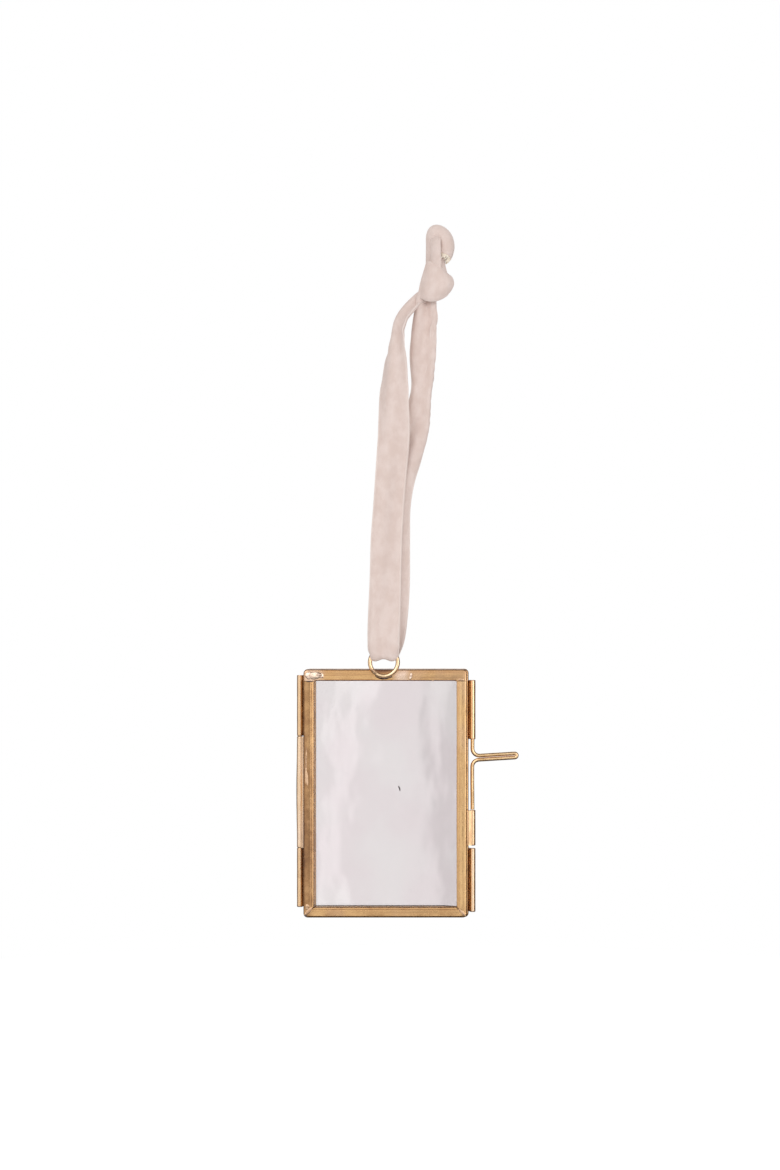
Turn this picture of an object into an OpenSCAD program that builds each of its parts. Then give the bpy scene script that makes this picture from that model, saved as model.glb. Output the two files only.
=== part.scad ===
// Hanging photo frame ornament. Two panes of glass sit in folded brass channels, which are hinged
// like a book, closed by a bent wire pin and hung from a knotted velvet ribbon.
// Millimetres, Z up, front towards -Y. The origin is the top of the ribbon loop, where it hangs.

/* [Frame] */
// Width of each half over its brass sides
frame_w = 49.4; // [40:0.2:80]
// Height of each half over its brass edges
frame_h = 75; // [70:0.5:110]
// Width of the brass rim along the sides and the bottom
rim_w = 2.75; // [2:0.05:5]
// Height of the cap that closes the top edge
cap_h = 3.5; // [3:0.05:6]
// Thickness of the brass sheet of the channels
sheet_t = 0.5; // [0.3:0.05:0.6]
// Outer radius of the folds along the channels
fold_r = 0.6; // [0.4:0.05:0.8]
// Radius of the four outside corners
corner_r = 1.3; // [0.8:0.1:3]
// Space between the two halves when they are shut
parting_gap = 0.3; // [0.2:0.05:0.8]
// How far the back half sits to the right of the front half
back_shift = 0.6; // [0:0.1:1]
// Width of the fine seams at the mitres and under the caps
seam_w = 0.12; // [0.05:0.01:0.3]
// Width of the lip along the inner edge of the outer flanges
lip_w = 0.65; // [0.3:0.05:1]
// How far the lip is turned down towards the pane
lip_drop = 0.25; // [0.1:0.01:0.28]

/* [Glass] */
// Thickness of each pane
glass_t = 2; // [1.5:0.1:3]
// Space round each pane inside its channel
glass_play = 0.1; // [0.05:0.01:0.25]

/* [Knuckles] */
// Diameter of the wire of the hinge pin and the clasp pin
wire_d = 1.1; // [0.8:0.05:1.2]
// Radial clearance of the wire in the knuckles
pin_play = 0.06; // [0.03:0.01:0.1]
// Wall of the rolled knuckles and of their leaves
knuckle_wall = 0.3; // [0.25:0.05:0.5]
// Space between the knuckles and the sides of the frame
side_gap = 0.25; // [0.15:0.05:0.5]
// Width of the slit where the rolled sheet meets itself
roll_slit = 0.14; // [0.08:0.01:0.25]

/* [Hinge] */
// Height of the lowest hinge knuckle above the bottom edge of the frame
hinge_foot = 2.9; // [1:0.1:6]
// Length of the lower hinge knuckle
hinge_lower_l = 17.8; // [10:0.1:22]
// Length of the upper hinge knuckle
hinge_upper_l = 18.4; // [10:0.1:22]
// Distance of the highest hinge knuckle below the top edge of the frame
hinge_head = 1.9; // [1:0.1:6]
// Space between the ends of neighbouring hinge knuckles
end_play = 0.25; // [0.1:0.05:0.5]

/* [Clasp] */
// Height of the lowest clasp knuckle above the bottom edge of the frame
clasp_foot = 1.4; // [1:0.1:4]
// Length of the lower clasp knuckle
clasp_lower_l = 19.2; // [14:0.1:20]
// Space between the lower and the middle clasp knuckle
clasp_space = 0.9; // [0.4:0.1:2]
// Length of the middle clasp knuckle
clasp_middle_l = 10.7; // [8:0.1:11]
// Length of the upper clasp knuckle
clasp_upper_l = 17.9; // [17:0.1:20]
// Distance of the upper clasp knuckle below the top edge of the frame
clasp_head = 3.4; // [1:0.1:4]

/* [Clasp pin] */
// Distance between the two wires of the finger loop, centre to centre
loop_pitch = 1.4; // [1.3:0.05:2.4]
// Centreline radius of the two bends that lead into the finger loop
bend_r = 2.1; // [1.6:0.1:2.6]
// Reach of the finger loop from the axis of the knuckles
loop_reach = 14; // [10:0.5:18]
// Upward tilt of the finger loop in degrees
loop_tilt = 3.5; // [0:0.5:6]
// Room above the loop before its bend meets the upper knuckle
lift_room = 2.1; // [1.9:0.1:3]
// How much thinner the wire is drawn in its bends
bend_thinning = 0.04; // [0.02:0.01:0.1]
// Length of the upper leg inside the upper knuckle
leg_grip = 15; // [14:0.1:15]
// Space under the lower leg when the clasp is released
release_gap = 0.2; // [0.1:0.05:0.5]

/* [Ring] */
// Outside diameter of the hanging ring
ring_od = 9.5; // [8:0.1:14]
// Diameter of the wire of the ring
ring_wire = 1.2; // [0.8:0.1:1.6]
// How far the ring laps down over the cap
ring_lap = 2.6; // [2:0.1:2.8]
// Sideways place of the ring, from the middle of the front half
ring_side = -0.4; // [-3:0.1:3]
// Space between the ring and the face of the cap, which the solder bridges
ring_gap = 0.05; // [0:0.01:0.15]
// Height that the solder stands over the brass
solder_h = 0.45; // [0.2:0.05:0.8]

/* [Ribbon] */
// Width of the velvet ribbon
ribbon_w = 10; // [8:0.5:12]
// Thickness of the ribbon with its pile
ribbon_t = 0.8; // [0.5:0.05:1]
// Space between the ribbon and the wire of the ring
ribbon_gap = 0.2; // [0.1:0.05:0.4]
// Height of the loop from the middle of the ring to the knot
loop_h = 110; // [80:1:160]
// Sideways distance of the knot from the ring
loop_lean = 15.4; // [0:0.1:25]

/* [Hidden] */
$fn = 48;

brass = [0.72, 0.56, 0.36];
worn_brass = [0.78, 0.62, 0.4];
wire_brass = [0.82, 0.66, 0.42];
solder = [0.86, 0.8, 0.68];
clear = [0.9, 0.88, 0.88, 0.45];
velvet = [0.86, 0.78, 0.73];

half_depth = glass_t + 2 * glass_play + 2 * sheet_t;
face_y = parting_gap / 2 + half_depth;
cap_z = frame_h - cap_h;

knuckle_r = wire_d / 2 + pin_play + knuckle_wall;
hinge_x = -(frame_w / 2 + side_gap + knuckle_r);
clasp_x = frame_w / 2 + back_shift + side_gap + knuckle_r;
leaf_start = parting_gap / 2 + side_gap;
leaf_end = face_y - fold_r;
// Angles at which the rolled knuckles close, from the side away from the frame towards its back
hinge_slit = 200;
clasp_slit = 280;

hinge_lower_top = hinge_foot + hinge_lower_l;
hinge_upper_top = frame_h - hinge_head;
hinge_upper_z = hinge_upper_top - hinge_upper_l;
clasp_lower_top = clasp_foot + clasp_lower_l;
clasp_middle_z = clasp_lower_top + clasp_space;
clasp_middle_top = clasp_middle_z + clasp_middle_l;
clasp_upper_z = frame_h - clasp_head - clasp_upper_l;

leg_top = clasp_upper_z + leg_grip;
leg_foot = clasp_middle_top + release_gap;
upper_bend_z = clasp_upper_z - lift_room;
lower_bend_z = upper_bend_z - (loop_pitch + 2 * bend_r) / cos(loop_tilt);

ring_r = (ring_od - ring_wire) / 2;
ring_y = -face_y - ring_gap - ring_wire / 2;
ring_z = frame_h - ring_lap + ring_od / 2;

// Mounds of solder on the front: [sideways, height, length, width, turn in degrees]
ring_mound = [ring_side, ring_z - ring_od / 2 + ring_wire / 2, 0.55 * ring_od, 2 * ring_wire, 0];
corner_mounds = [
    [1.3 * rim_w - frame_w / 2, cap_z + 0.3 * cap_h, 1.3 * cap_h, 0.57 * cap_h, 6],
    [frame_w / 2 - 0.87 * rim_w, cap_z + 0.09 * cap_h, 0.8 * cap_h, 0.4 * cap_h, 0],
    [0.55 * rim_w - frame_w / 2, 0.55 * rim_w, 0.8 * rim_w, 0.44 * rim_w, -45],
    [frame_w / 2 - 0.55 * rim_w, 0.55 * rim_w, 0.8 * rim_w, 0.44 * rim_w, 45]
];

// The ribbon turns through the ring in a narrow U, which clears the wire on both sides. Its foot
// is a little above the middle of the ring.
strand_y = (ring_wire + ribbon_t) / 2 + ribbon_gap;
turn_foot = 0.18 * ring_r;
turn_z = turn_foot + strand_y;
turn_w = 2 * sqrt(pow(ring_r - ring_wire / 2, 2) - pow(turn_z - strand_y / 2, 2)) - ribbon_gap;

// The strands from the ring up to the knot: [height as a share of loop_h, sideways as a share of
// loop_lean, depth as a share of strand_y, twist in degrees, width as a share of ribbon_w]
front_strand = [
    [0.04, -0.015, -1, 0, 0.92], [0.075, -0.005, -1.08, 2, 0.99], [0.15, 0.01, -1.17, 16, 0.99],
    [0.225, 0.03, -1.25, 26, 0.99], [0.335, 0.05, -1.25, 24, 0.99], [0.43, 0.09, -1.25, 26, 0.98],
    [0.52, 0.135, -1.33, 20, 1], [0.61, 0.19, -1.58, 4, 1], [0.665, 0.2, -1.67, -16, 1],
    [0.72, 0.205, -1.67, -28, 1], [0.775, 0.22, -1.58, -38, 0.99], [0.83, 0.245, -1.42, -50, 0.97],
    [0.875, 0.262, -1.17, -61, 0.9], [0.915, 0.28, -0.92, -69, 0.78], [0.945, 0.35, -0.67, -66, 0.72],
    [0.97, 0.46, -0.42, -60, 0.68], [0.995, 0.6, -0.25, -50, 0.6], [1.015, 0.74, 0, -40, 0.5]
];
rear_strand = [
    [0.04, 0.06, 1, 0, 0.85], [0.075, 0.13, 1.08, -2, 0.9], [0.15, 0.18, 1.17, -6, 0.96],
    [0.225, 0.205, 1.25, -8, 0.97], [0.335, 0.21, 1.33, -8, 0.97], [0.43, 0.215, 1.33, -6, 0.97],
    [0.5, 0.3, 1.25, -8, 0.97], [0.56, 0.43, 1.17, -14, 0.96], [0.62, 0.56, 1.17, -24, 0.95],
    [0.68, 0.65, 1.17, -40, 0.94], [0.74, 0.725, 1.08, -54, 0.92], [0.79, 0.765, 1, -50, 0.92],
    [0.84, 0.77, 0.83, -38, 0.9], [0.885, 0.785, 0.67, -32, 0.84], [0.93, 0.81, 0.42, -26, 0.74],
    [0.97, 0.84, 0.17, -18, 0.62], [1, 0.87, 0, -10, 0.52], [1.02, 0.93, 0, 0, 0.48]
];

// The knot from its foot to its top: [height, sideways, half width, half depth, tilt in degrees],
// with the lengths as shares of the width of the ribbon
knot_body = [
    [0, -0.04, 0.16, 0.14, -14], [0.12, -0.01, 0.36, 0.27, -16], [0.3, 0, 0.46, 0.34, -18],
    [0.5, 0.03, 0.51, 0.37, -16], [0.7, 0.03, 0.45, 0.35, -12], [0.9, 0, 0.34, 0.28, -8],
    [1.06, -0.02, 0.26, 0.2, -4], [1.16, -0.02, 0.16, 0.12, 0]
];
// The turn of ribbon round the knot: its middle, half width and half depth, tilt in degrees, width
// and how far its edges are drawn in, with the lengths as shares of the width of the ribbon
wrap_middle = [0.03, 0, 0.58];
wrap_size = [0.47, 0.36];
wrap_tilt = -24;
wrap_w = 0.74;
wrap_cup = 0.14;
// The two tails above the knot: [height, sideways, depth, twist in degrees, width], with the
// lengths as shares of the width of the ribbon
long_tail = [
    [0.95, -0.06, -0.04, 0, 0.5], [1.2, -0.08, -0.02, 4, 0.6], [1.5, -0.08, 0.06, 8, 0.72],
    [1.8, -0.02, 0.1, 14, 0.78], [2.03, 0.12, -0.02, 24, 0.8], [1.97, 0.3, -0.24, 34, 0.76],
    [1.68, 0.4, -0.32, 40, 0.64], [1.38, 0.38, -0.28, 40, 0.56], [1.18, 0.3, -0.22, 40, 0.5]
];
short_tail = [
    [0.95, -0.04, 0.1, 0, 0.5], [1.25, -0.1, 0.22, -6, 0.6], [1.65, -0.14, 0.26, -12, 0.7],
    [2.05, -0.16, 0.26, -16, 0.7]
];
knot_foot = [ring_side + loop_lean, ring_y, ring_z + 0.99 * loop_h];
hang_point = [ring_side + 0.6 * loop_lean, ring_y, ring_z + 0.96 * loop_h];

// Overshoot of what is cut away, and steps of the curves
over = 1;
steps_per_row = 3;
cells_across = 6;
knot_sides = 24;
arc_steps = 6;

function arc(centre, r, from) = [
    for (i = [0:arc_steps]) let (a = from + 90 * i / arc_steps) centre + r * [cos(a), sin(a)]
];

// Rectangle from corner p to corner q with rounded corners
function rounded_rect(p, q, r) = concat(
    arc([p[0] + r, p[1] + r], r, 180), arc([q[0] - r, p[1] + r], r, 270),
    arc([q[0] - r, q[1] - r], r, 0), arc([p[0] + r, q[1] - r], r, 90)
);

// A smooth curve through the rows of a table
function row(t, i) = t[min(max(i, 0), len(t) - 1)];
function blend(a, b, c, d, f) =
    0.5 * (2 * b + f * (c - a) + f * f * (2 * a - 5 * b + 4 * c - d)
        + f * f * f * (3 * (b - c) + d - a));
function smooth(t) = concat(
    [for (i = [0:len(t) - 2]) for (k = [0:steps_per_row - 1])
        blend(row(t, i - 1), row(t, i), row(t, i + 1), row(t, i + 2), k / steps_per_row)],
    [t[len(t) - 1]]
);

function unit(v) = v / norm(v);
function place(r) = [r[0], r[1], r[2]];

// Outline of the ribbon's section, thinned at its two edges
function ribbon_section(w) = [
    for (face = [1, -1]) for (i = [0:cells_across]) let (s = face * (1 - 2 * i / cells_across))
        [w / 2 * s, face * ribbon_t / 2 * (abs(s) == 1 ? 0.4 : 1)]
];

// Rows are [x, y, z, twist, width]. The ribbon lies along X before it is twisted.
function strip_ring(rows, i) = let (
    along = unit(place(row(rows, i + 1)) - place(row(rows, i - 1))),
    flat = unit([1, 0, 0] - along[0] * along),
    side = cross(along, flat),
    a = rows[i][3]
) [
    for (p = ribbon_section(rows[i][4])) place(rows[i])
        + p[0] * (cos(a) * flat + sin(a) * side) + p[1] * (cos(a) * side - sin(a) * flat)
];
function strip(rows) = [for (i = [0:len(rows) - 1]) strip_ring(rows, i)];

turn_rows = [
    for (a = [0:20:180]) [0, strand_y * cos(a), turn_z - strand_y * sin(a), 0, turn_w]
];
function strand_rows(t) = [
    for (r = smooth(t)) [r[1] * loop_lean, r[2] * strand_y, r[0] * loop_h, r[3], r[4] * ribbon_w]
];
function tail_rows(t) = [
    for (r = smooth(t)) [r[1] * ribbon_w, r[2] * ribbon_w, r[0] * ribbon_w, r[3], r[4] * ribbon_w]
];
function knot_ring(r) = [
    for (i = [0:knot_sides - 1]) let (a = 360 * i / knot_sides, x = r[2] * cos(a))
        ribbon_w * [r[1] + x, r[3] * sin(a), r[0] + x * tan(r[4])]
];

// Section of the turn round the knot at the angle a, with its edges drawn in
function wrap_ring(a) = let (
    out = [cos(a), sin(a), 0],
    up = [-sin(wrap_tilt), 0, cos(wrap_tilt)],
    middle = wrap_middle + [wrap_size[0] * cos(a), wrap_size[1] * sin(a), 0]
        + [0, 0, wrap_size[0] * cos(a) * tan(wrap_tilt)]
) [
    for (p = ribbon_section(wrap_w * ribbon_w)) let (s = 2 * p[0] / (wrap_w * ribbon_w))
        ribbon_w * middle + p[0] * up + (p[1] - wrap_cup * ribbon_w * s * s) * out
];

// Solid over a row of outlines that all have as many points, with flat ends or as a closed ring
module loft(rings, ring = false) {
    n = len(rings[0]);
    all = len(rings) * n;
    last = all - n;
    polyhedron(
        [for (r = rings) each r],
        concat(
            [for (i = [0:n:(ring ? last : last - 1)]) for (j = [0:n - 1])
                let (k = (j + 1) % n, next = (i + n) % all) each [
                    [i + j, next + j, i + k], [i + k, next + j, next + k]
                ]],
            ring ? [] : [[for (j = [0:n - 1]) j], [for (j = [n - 1:-1:0]) last + j]]
        )
    );
}

module in_place() {
    translate(-hang_point) children();
}

// Each half is drawn from its parting face at y = 0 to its outer face.
module in_front_half() {
    in_place() mirror([0, 1, 0]) translate([0, parting_gap / 2, 0]) children();
}

module in_back_half() {
    in_place() translate([back_shift, parting_gap / 2, 0]) children();
}

// Solid over the outside of a half, with its folded edges and its corners rounded
module half_block() {
    x = frame_w / 2;
    intersection() {
        linear_extrude(frame_h) polygon(rounded_rect([-x, 0], [x, half_depth], fold_r));
        translate([-x, 0, 0]) rotate([90, 0, 90]) linear_extrude(frame_w)
            polygon(rounded_rect([0, 0], [half_depth, frame_h], fold_r));
        translate([0, half_depth, 0]) rotate([90, 0, 0]) linear_extrude(half_depth)
            polygon(rounded_rect([-x, 0], [x, frame_h], corner_r));
    }
}

// The brass of a half in one piece, before the cap is parted from the channel
module half_shell() {
    inner_w = frame_w - 2 * sheet_t;
    difference() {
        half_block();
        translate([-inner_w / 2, sheet_t, sheet_t])
            cube([inner_w, half_depth - 2 * sheet_t, frame_h - 2 * sheet_t]);
        translate([-frame_w / 2 + rim_w, -over, rim_w])
            cube([frame_w - 2 * rim_w, half_depth + 2 * over, cap_z - rim_w]);
    }
}

// The two webs of the channel inside the cap
module tongues(from_z) {
    for (x = [-frame_w / 2, frame_w / 2 - sheet_t]) translate([x, sheet_t, from_z])
        cube([sheet_t, half_depth - 2 * sheet_t, frame_h - sheet_t - from_z]);
}

// Space in front of the lip, which slopes down to the pane along both sides and the bottom
module lip_space() {
    x = frame_w / 2 - rim_w;
    low = half_depth - lip_drop;
    high = half_depth + lip_drop;
    intersection() {
        linear_extrude(cap_z)
            polygon([[-x, low], [x, low], [x + 2 * lip_w, high], [-x - 2 * lip_w, high]]);
        translate([-frame_w / 2, 0, 0]) rotate([90, 0, 90]) linear_extrude(frame_w)
            polygon([[low, rim_w], [low, cap_z], [high, cap_z], [high, rim_w - 2 * lip_w]]);
    }
}

// Slit between the flanges at a bottom corner, where the strip was notched and folded up
module mitre_slit() {
    translate([-frame_w / 2, -over, 0]) rotate([0, -45, 0])
        translate([fold_r * 2, 0, -seam_w / 2]) cube([rim_w * 2, half_depth + 2 * over, seam_w]);
}

module channel() {
    difference() {
        half_shell();
        translate([-frame_w / 2 - over, -over, cap_z - seam_w])
            cube([frame_w + 2 * over, half_depth + 2 * over, cap_h + over]);
        lip_space();
        mitre_slit();
        mirror([1, 0, 0]) mitre_slit();
    }
    intersection() {
        half_block();
        tongues(cap_z - rim_w);
    }
}

module cap() {
    difference() {
        half_shell();
        translate([-frame_w / 2 - over, -over, -over])
            cube([frame_w + 2 * over, half_depth + 2 * over, cap_z + over]);
        tongues(cap_z - over);
    }
}

module pane() {
    side = sheet_t + glass_play;
    translate([-frame_w / 2 + side, side, sheet_t])
        cube([frame_w - 2 * side, glass_t, frame_h - sheet_t - side]);
}

// Leaf on the web of a channel and the arm from it to a rolled knuckle, seen from above. The web
// lies at x = 0, the parting plane at y = 0 and the axis of the knuckle at x = reach.
module leaf_outline(reach) {
    inner = knuckle_r * 0.97;
    polygon([
        [0, leaf_start], [0, leaf_end], [knuckle_wall, leaf_end],
        [knuckle_wall, leaf_start + knuckle_r],
        [reach + inner * cos(110), inner * sin(110)], [reach, 0],
        [reach + inner * cos(160), inner * sin(160)]
    ]);
}

// Knuckle of a half, on its left side with side = -1 and on its right side with side = 1. The
// roll closes at the angle slit.
module knuckle(side, back, z, length, slit, play = pin_play) {
    web_x = side * frame_w / 2 + (back ? back_shift : 0);
    reach = abs((side < 0 ? hinge_x : clasp_x) - web_x);
    color(brass) in_place() translate([web_x, 0, z])
        mirror([side < 0 ? 1 : 0, 0, 0]) mirror([0, back ? 0 : 1, 0]) difference() {
            union() {
                linear_extrude(length) leaf_outline(reach);
                translate([reach, 0, 0]) cylinder(h = length, r = knuckle_r);
            }
            translate([reach, 0, -over]) {
                cylinder(h = length + 2 * over, r = wire_d / 2 + play);
                rotate([0, 0, slit]) translate([0, -roll_slit / 2, 0])
                    cube([knuckle_r + over, roll_slit, length + 2 * over]);
            }
        }
}

// Ring of wire about the Y axis, or the part of it from one angle through another
module wire_arc(r, d, from = 0, turn = 360) {
    rotate([90, 0, 0]) rotate([0, 0, from]) rotate_extrude(angle = turn)
        translate([r, 0]) circle(d = d);
}

// Straight stretch of wire along Z
module wire(from_z, to_z) {
    translate([0, 0, from_z]) cylinder(h = to_z - from_z, d = wire_d);
}

// Low mound of solder on the front face, from a row [sideways, height, length, width, turn]
module solder_mound(m) {
    l = m[2];
    w = m[3];
    sunk = (w * w / 4 - solder_h * solder_h) / (2 * solder_h);
    color(solder) translate([m[0], -face_y, m[1]]) rotate([0, m[4], 0]) intersection() {
        translate([-l, -w, -w]) cube([2 * l, w, 2 * w]);
        translate([0, sunk, 0]) rotate([0, 90, 0]) rotate_extrude() polygon(concat(
            [[0, -l / 2]],
            [for (s = [-1:0.25:1]) [sunk + solder_h * (1 - s * s), s * l / 2]],
            [[0, l / 2]]
        ));
    }
}

module front_channel() {
    color(brass) in_front_half() channel();
}

module back_channel() {
    color(brass) in_back_half() channel();
}

module front_cap() {
    color(worn_brass) in_front_half() cap();
}

module back_cap() {
    color(worn_brass) in_back_half() cap();
}

module front_glass() {
    color(clear) in_front_half() pane();
}

module back_glass() {
    color(clear) in_back_half() pane();
}

module front_hinge_knuckle() {
    z = hinge_lower_top + end_play;
    knuckle(-1, false, z, hinge_upper_z - end_play - z, hinge_slit);
}

// The two back knuckles of the hinge grip the pin.
module back_hinge_knuckle_lower() {
    knuckle(-1, true, hinge_foot, hinge_lower_l, hinge_slit, play = 0);
}

module back_hinge_knuckle_upper() {
    knuckle(-1, true, hinge_upper_z, hinge_upper_l, hinge_slit, play = 0);
}

module front_clasp_knuckle() {
    knuckle(1, false, clasp_middle_z, clasp_middle_l, clasp_slit);
}

module back_clasp_knuckle_lower() {
    knuckle(1, true, clasp_foot, clasp_lower_l, clasp_slit);
}

module back_clasp_knuckle_upper() {
    knuckle(1, true, clasp_upper_z, clasp_upper_l, clasp_slit);
}

module hinge_pin() {
    color(wire_brass) in_place() translate([hinge_x, 0, 0]) wire(hinge_foot, hinge_upper_top);
}

// The pin is one wire: a leg down from the upper knuckle, a bend, the doubled finger loop, a second
// bend and a leg down to the middle knuckle. The straights lap a little way into the bends.
module clasp_pin() {
    bend_d = wire_d - bend_thinning;
    lap = bend_thinning;
    tip_r = loop_pitch / 2;
    root = bend_r * (1 + sin(loop_tilt));
    upper_l = (loop_reach - tip_r - wire_d / 2 - root) / cos(loop_tilt);
    setback = (loop_pitch + 2 * bend_r) * tan(loop_tilt);
    color(wire_brass) in_place() translate([clasp_x, 0, 0]) {
        wire(upper_bend_z - lap, leg_top);
        translate([bend_r, 0, upper_bend_z]) wire_arc(bend_r, bend_d, 180, 90 + loop_tilt);
        translate([root, 0, upper_bend_z - bend_r * cos(loop_tilt)]) rotate([0, -loop_tilt, 0]) {
            rotate([0, 90, 0]) wire(-lap, upper_l + lap);
            translate([upper_l, 0, -tip_r]) wire_arc(tip_r, bend_d, -90, 180);
            translate([0, 0, -loop_pitch]) rotate([0, 90, 0]) wire(-setback - lap, upper_l + lap);
        }
        translate([bend_r, 0, lower_bend_z])
            wire_arc(bend_r, bend_d, 90 + loop_tilt, 90 - loop_tilt);
        wire(leg_foot, lower_bend_z + lap);
    }
}

module hanging_ring() {
    color(wire_brass) in_place() translate([ring_side, ring_y, ring_z])
        wire_arc(ring_r, ring_wire);
}

module ring_solder() {
    in_place() difference() {
        solder_mound(ring_mound);
        translate([ring_side, ring_y, ring_z]) wire_arc(ring_r, ring_wire);
    }
}

module corner_solder() {
    in_place() for (m = corner_mounds) solder_mound(m);
}

module ribbon() {
    color(velvet) in_place() {
        translate([ring_side, ring_y, ring_z]) {
            loft(strip(concat(turn_rows, strand_rows(front_strand))));
            loft(strip(concat([turn_rows[0]], strand_rows(rear_strand))));
        }
        translate(knot_foot) {
            loft([for (r = smooth(knot_body)) knot_ring(r)]);
            loft([for (i = [0:knot_sides - 1]) wrap_ring(360 * i / knot_sides)], ring = true);
            loft(strip(tail_rows(long_tail)));
            loft(strip(tail_rows(short_tail)));
        }
    }
}

front_channel();
front_cap();
front_glass();
front_hinge_knuckle();
front_clasp_knuckle();
hanging_ring();
ring_solder();
corner_solder();
ribbon();
back_channel();
back_cap();
back_glass();
back_hinge_knuckle_upper();
back_hinge_knuckle_lower();
back_clasp_knuckle_upper();
back_clasp_knuckle_lower();
hinge_pin();
clasp_pin();
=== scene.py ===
import math

import bmesh
import bpy
import numpy as np
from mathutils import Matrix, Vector, noise


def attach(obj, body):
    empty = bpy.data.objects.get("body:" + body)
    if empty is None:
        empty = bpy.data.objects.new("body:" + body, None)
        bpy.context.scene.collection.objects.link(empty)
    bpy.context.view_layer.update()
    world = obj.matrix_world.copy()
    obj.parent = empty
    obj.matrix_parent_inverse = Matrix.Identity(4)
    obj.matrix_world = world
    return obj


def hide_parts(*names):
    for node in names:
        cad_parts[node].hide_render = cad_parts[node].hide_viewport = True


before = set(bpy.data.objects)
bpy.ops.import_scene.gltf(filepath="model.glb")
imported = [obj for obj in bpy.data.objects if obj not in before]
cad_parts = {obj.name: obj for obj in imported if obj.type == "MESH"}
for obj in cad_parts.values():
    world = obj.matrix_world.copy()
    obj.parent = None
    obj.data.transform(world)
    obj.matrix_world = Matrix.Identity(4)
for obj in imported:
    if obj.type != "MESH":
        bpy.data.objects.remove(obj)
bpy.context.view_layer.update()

# Studio. A pale floor lies well below the hanging frame, in a white room with a large soft lamp on
# either side. Tall grey cards beside the frame, seen by brass and glass alone, give the metal the
# dark edges that it has in front of a white wall.
scene = bpy.context.scene
scene.view_settings.view_transform = "Standard"


def add(tree, kind, inputs=None, **settings):
    made = tree.nodes.new(kind)
    for name, value in settings.items():
        setattr(made, name, value)
    for name, value in (inputs or {}).items():
        if isinstance(value, bpy.types.NodeSocket):
            tree.links.new(value, made.inputs[name])
        else:
            made.inputs[name].default_value = value
    return made


def math_of(tree, operation, first, second=0.0, third=0.0, clamp=False):
    made = add(tree, "ShaderNodeMath", {0: first, 1: second, 2: third}, operation=operation)
    made.use_clamp = clamp
    return made.outputs[0]


def plus(tree, first, second):
    return math_of(tree, "ADD", first, second)


def minus(tree, first, second):
    return math_of(tree, "SUBTRACT", first, second)


def times(tree, first, second, clamp=False):
    return math_of(tree, "MULTIPLY", first, second, clamp=clamp)


def ranged(tree, value, low, high, to_low=0.0, to_high=1.0, smooth=True):
    made = add(tree, "ShaderNodeMapRange", {"Value": value, "From Min": low, "From Max": high,
                                            "To Min": to_low, "To Max": to_high}, clamp=smooth)
    made.interpolation_type = "SMOOTHSTEP" if smooth else "LINEAR"
    return made.outputs[0]


def own_place(tree):
    """Where a point lies in its piece's own directions."""
    return add(tree, "ShaderNodeTexCoord").outputs["Object"]


def empty_material(name):
    material = bpy.data.materials.new(name)
    material.use_nodes = True
    material.node_tree.nodes.clear()
    return material, material.node_tree


def placed_object(name, data, place=(0, 0, 0), towards=None):
    made = bpy.data.objects.new(name, data)
    scene.collection.objects.link(made)
    made.location = place
    if towards is not None:
        made.rotation_euler = (Vector(towards) - Vector(place)).to_track_quat("-Z", "Y").to_euler()
    return made


# The photograph is 780 by 1170 and shows 353.1 mm from top to bottom at the face of the frame.
shown_height = 0.3531
camera_reach = 0.65
camera_spot = (-0.0074, 0.00065 - camera_reach, -0.0823)
camera = placed_object("camera", bpy.data.cameras.new("camera"), camera_spot)
camera.rotation_euler = (math.pi / 2, 0, 0)
camera.data.sensor_width = 36
camera.data.lens = camera.data.sensor_width * camera_reach / shown_height
scene.camera = camera

white = (1, 1, 1, 1)
room_light = 0.66
floor_glow = 0.72
floor_level = -0.30


def lit_or_shown(tree, lit, shown):
    """A shader that sheds the first one's light, and shows as the second, in mirrors too."""
    path = add(tree, "ShaderNodeLightPath").outputs
    mirrored = math_of(tree, "MAXIMUM", path["Is Glossy Ray"], path["Is Transmission Ray"])
    seen = math_of(tree, "MAXIMUM", path["Is Camera Ray"], mirrored)
    both = {0: seen, 1: lit.outputs[0], 2: shown.outputs[0]}
    return add(tree, "ShaderNodeMixShader", both).outputs[0]


room = bpy.data.worlds.new("white_room")
scene.world = room
room.use_nodes = True
tree = room.node_tree
tree.nodes.clear()
lit = add(tree, "ShaderNodeBackground", {"Color": white, "Strength": room_light})
shown = add(tree, "ShaderNodeBackground", {"Color": white, "Strength": 1.0})
add(tree, "ShaderNodeOutputWorld", {"Surface": lit_or_shown(tree, lit, shown)})

for name, place, size, watts in (
    ("left_lamp", (-0.46, -0.84, 0.34), 0.7, 3.0),
    ("right_lamp", (0.62, -0.72, 0.02), 0.6, 1.9),
):
    light = bpy.data.lights.new(name, "AREA")
    light.size = size
    light.energy = watts
    placed_object(name, light, place, towards=(0, 0, -0.1))

floor_material, tree = empty_material("pale_floor")
glow = add(tree, "ShaderNodeEmission", {"Color": white, "Strength": floor_glow})
shaded = add(tree, "ShaderNodeBsdfDiffuse", {"Color": (0.48, 0.48, 0.48, 1)})
matt = add(tree, "ShaderNodeBsdfDiffuse", {"Color": (0.93, 0.93, 0.93, 1)})
shown = add(tree, "ShaderNodeAddShader", {0: glow.outputs[0], 1: shaded.outputs[0]})
add(tree, "ShaderNodeOutputMaterial", {"Surface": lit_or_shown(tree, matt, shown)})
floor_mesh = bpy.data.meshes.new("floor")
floor_form = bmesh.new()
bmesh.ops.create_circle(floor_form, cap_ends=True, segments=64, radius=0.6)
floor_form.to_mesh(floor_mesh)
floor_form.free()
floor_mesh.materials.append(floor_material)
floor = placed_object("floor", floor_mesh, (0, 0.05, floor_level))


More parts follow.
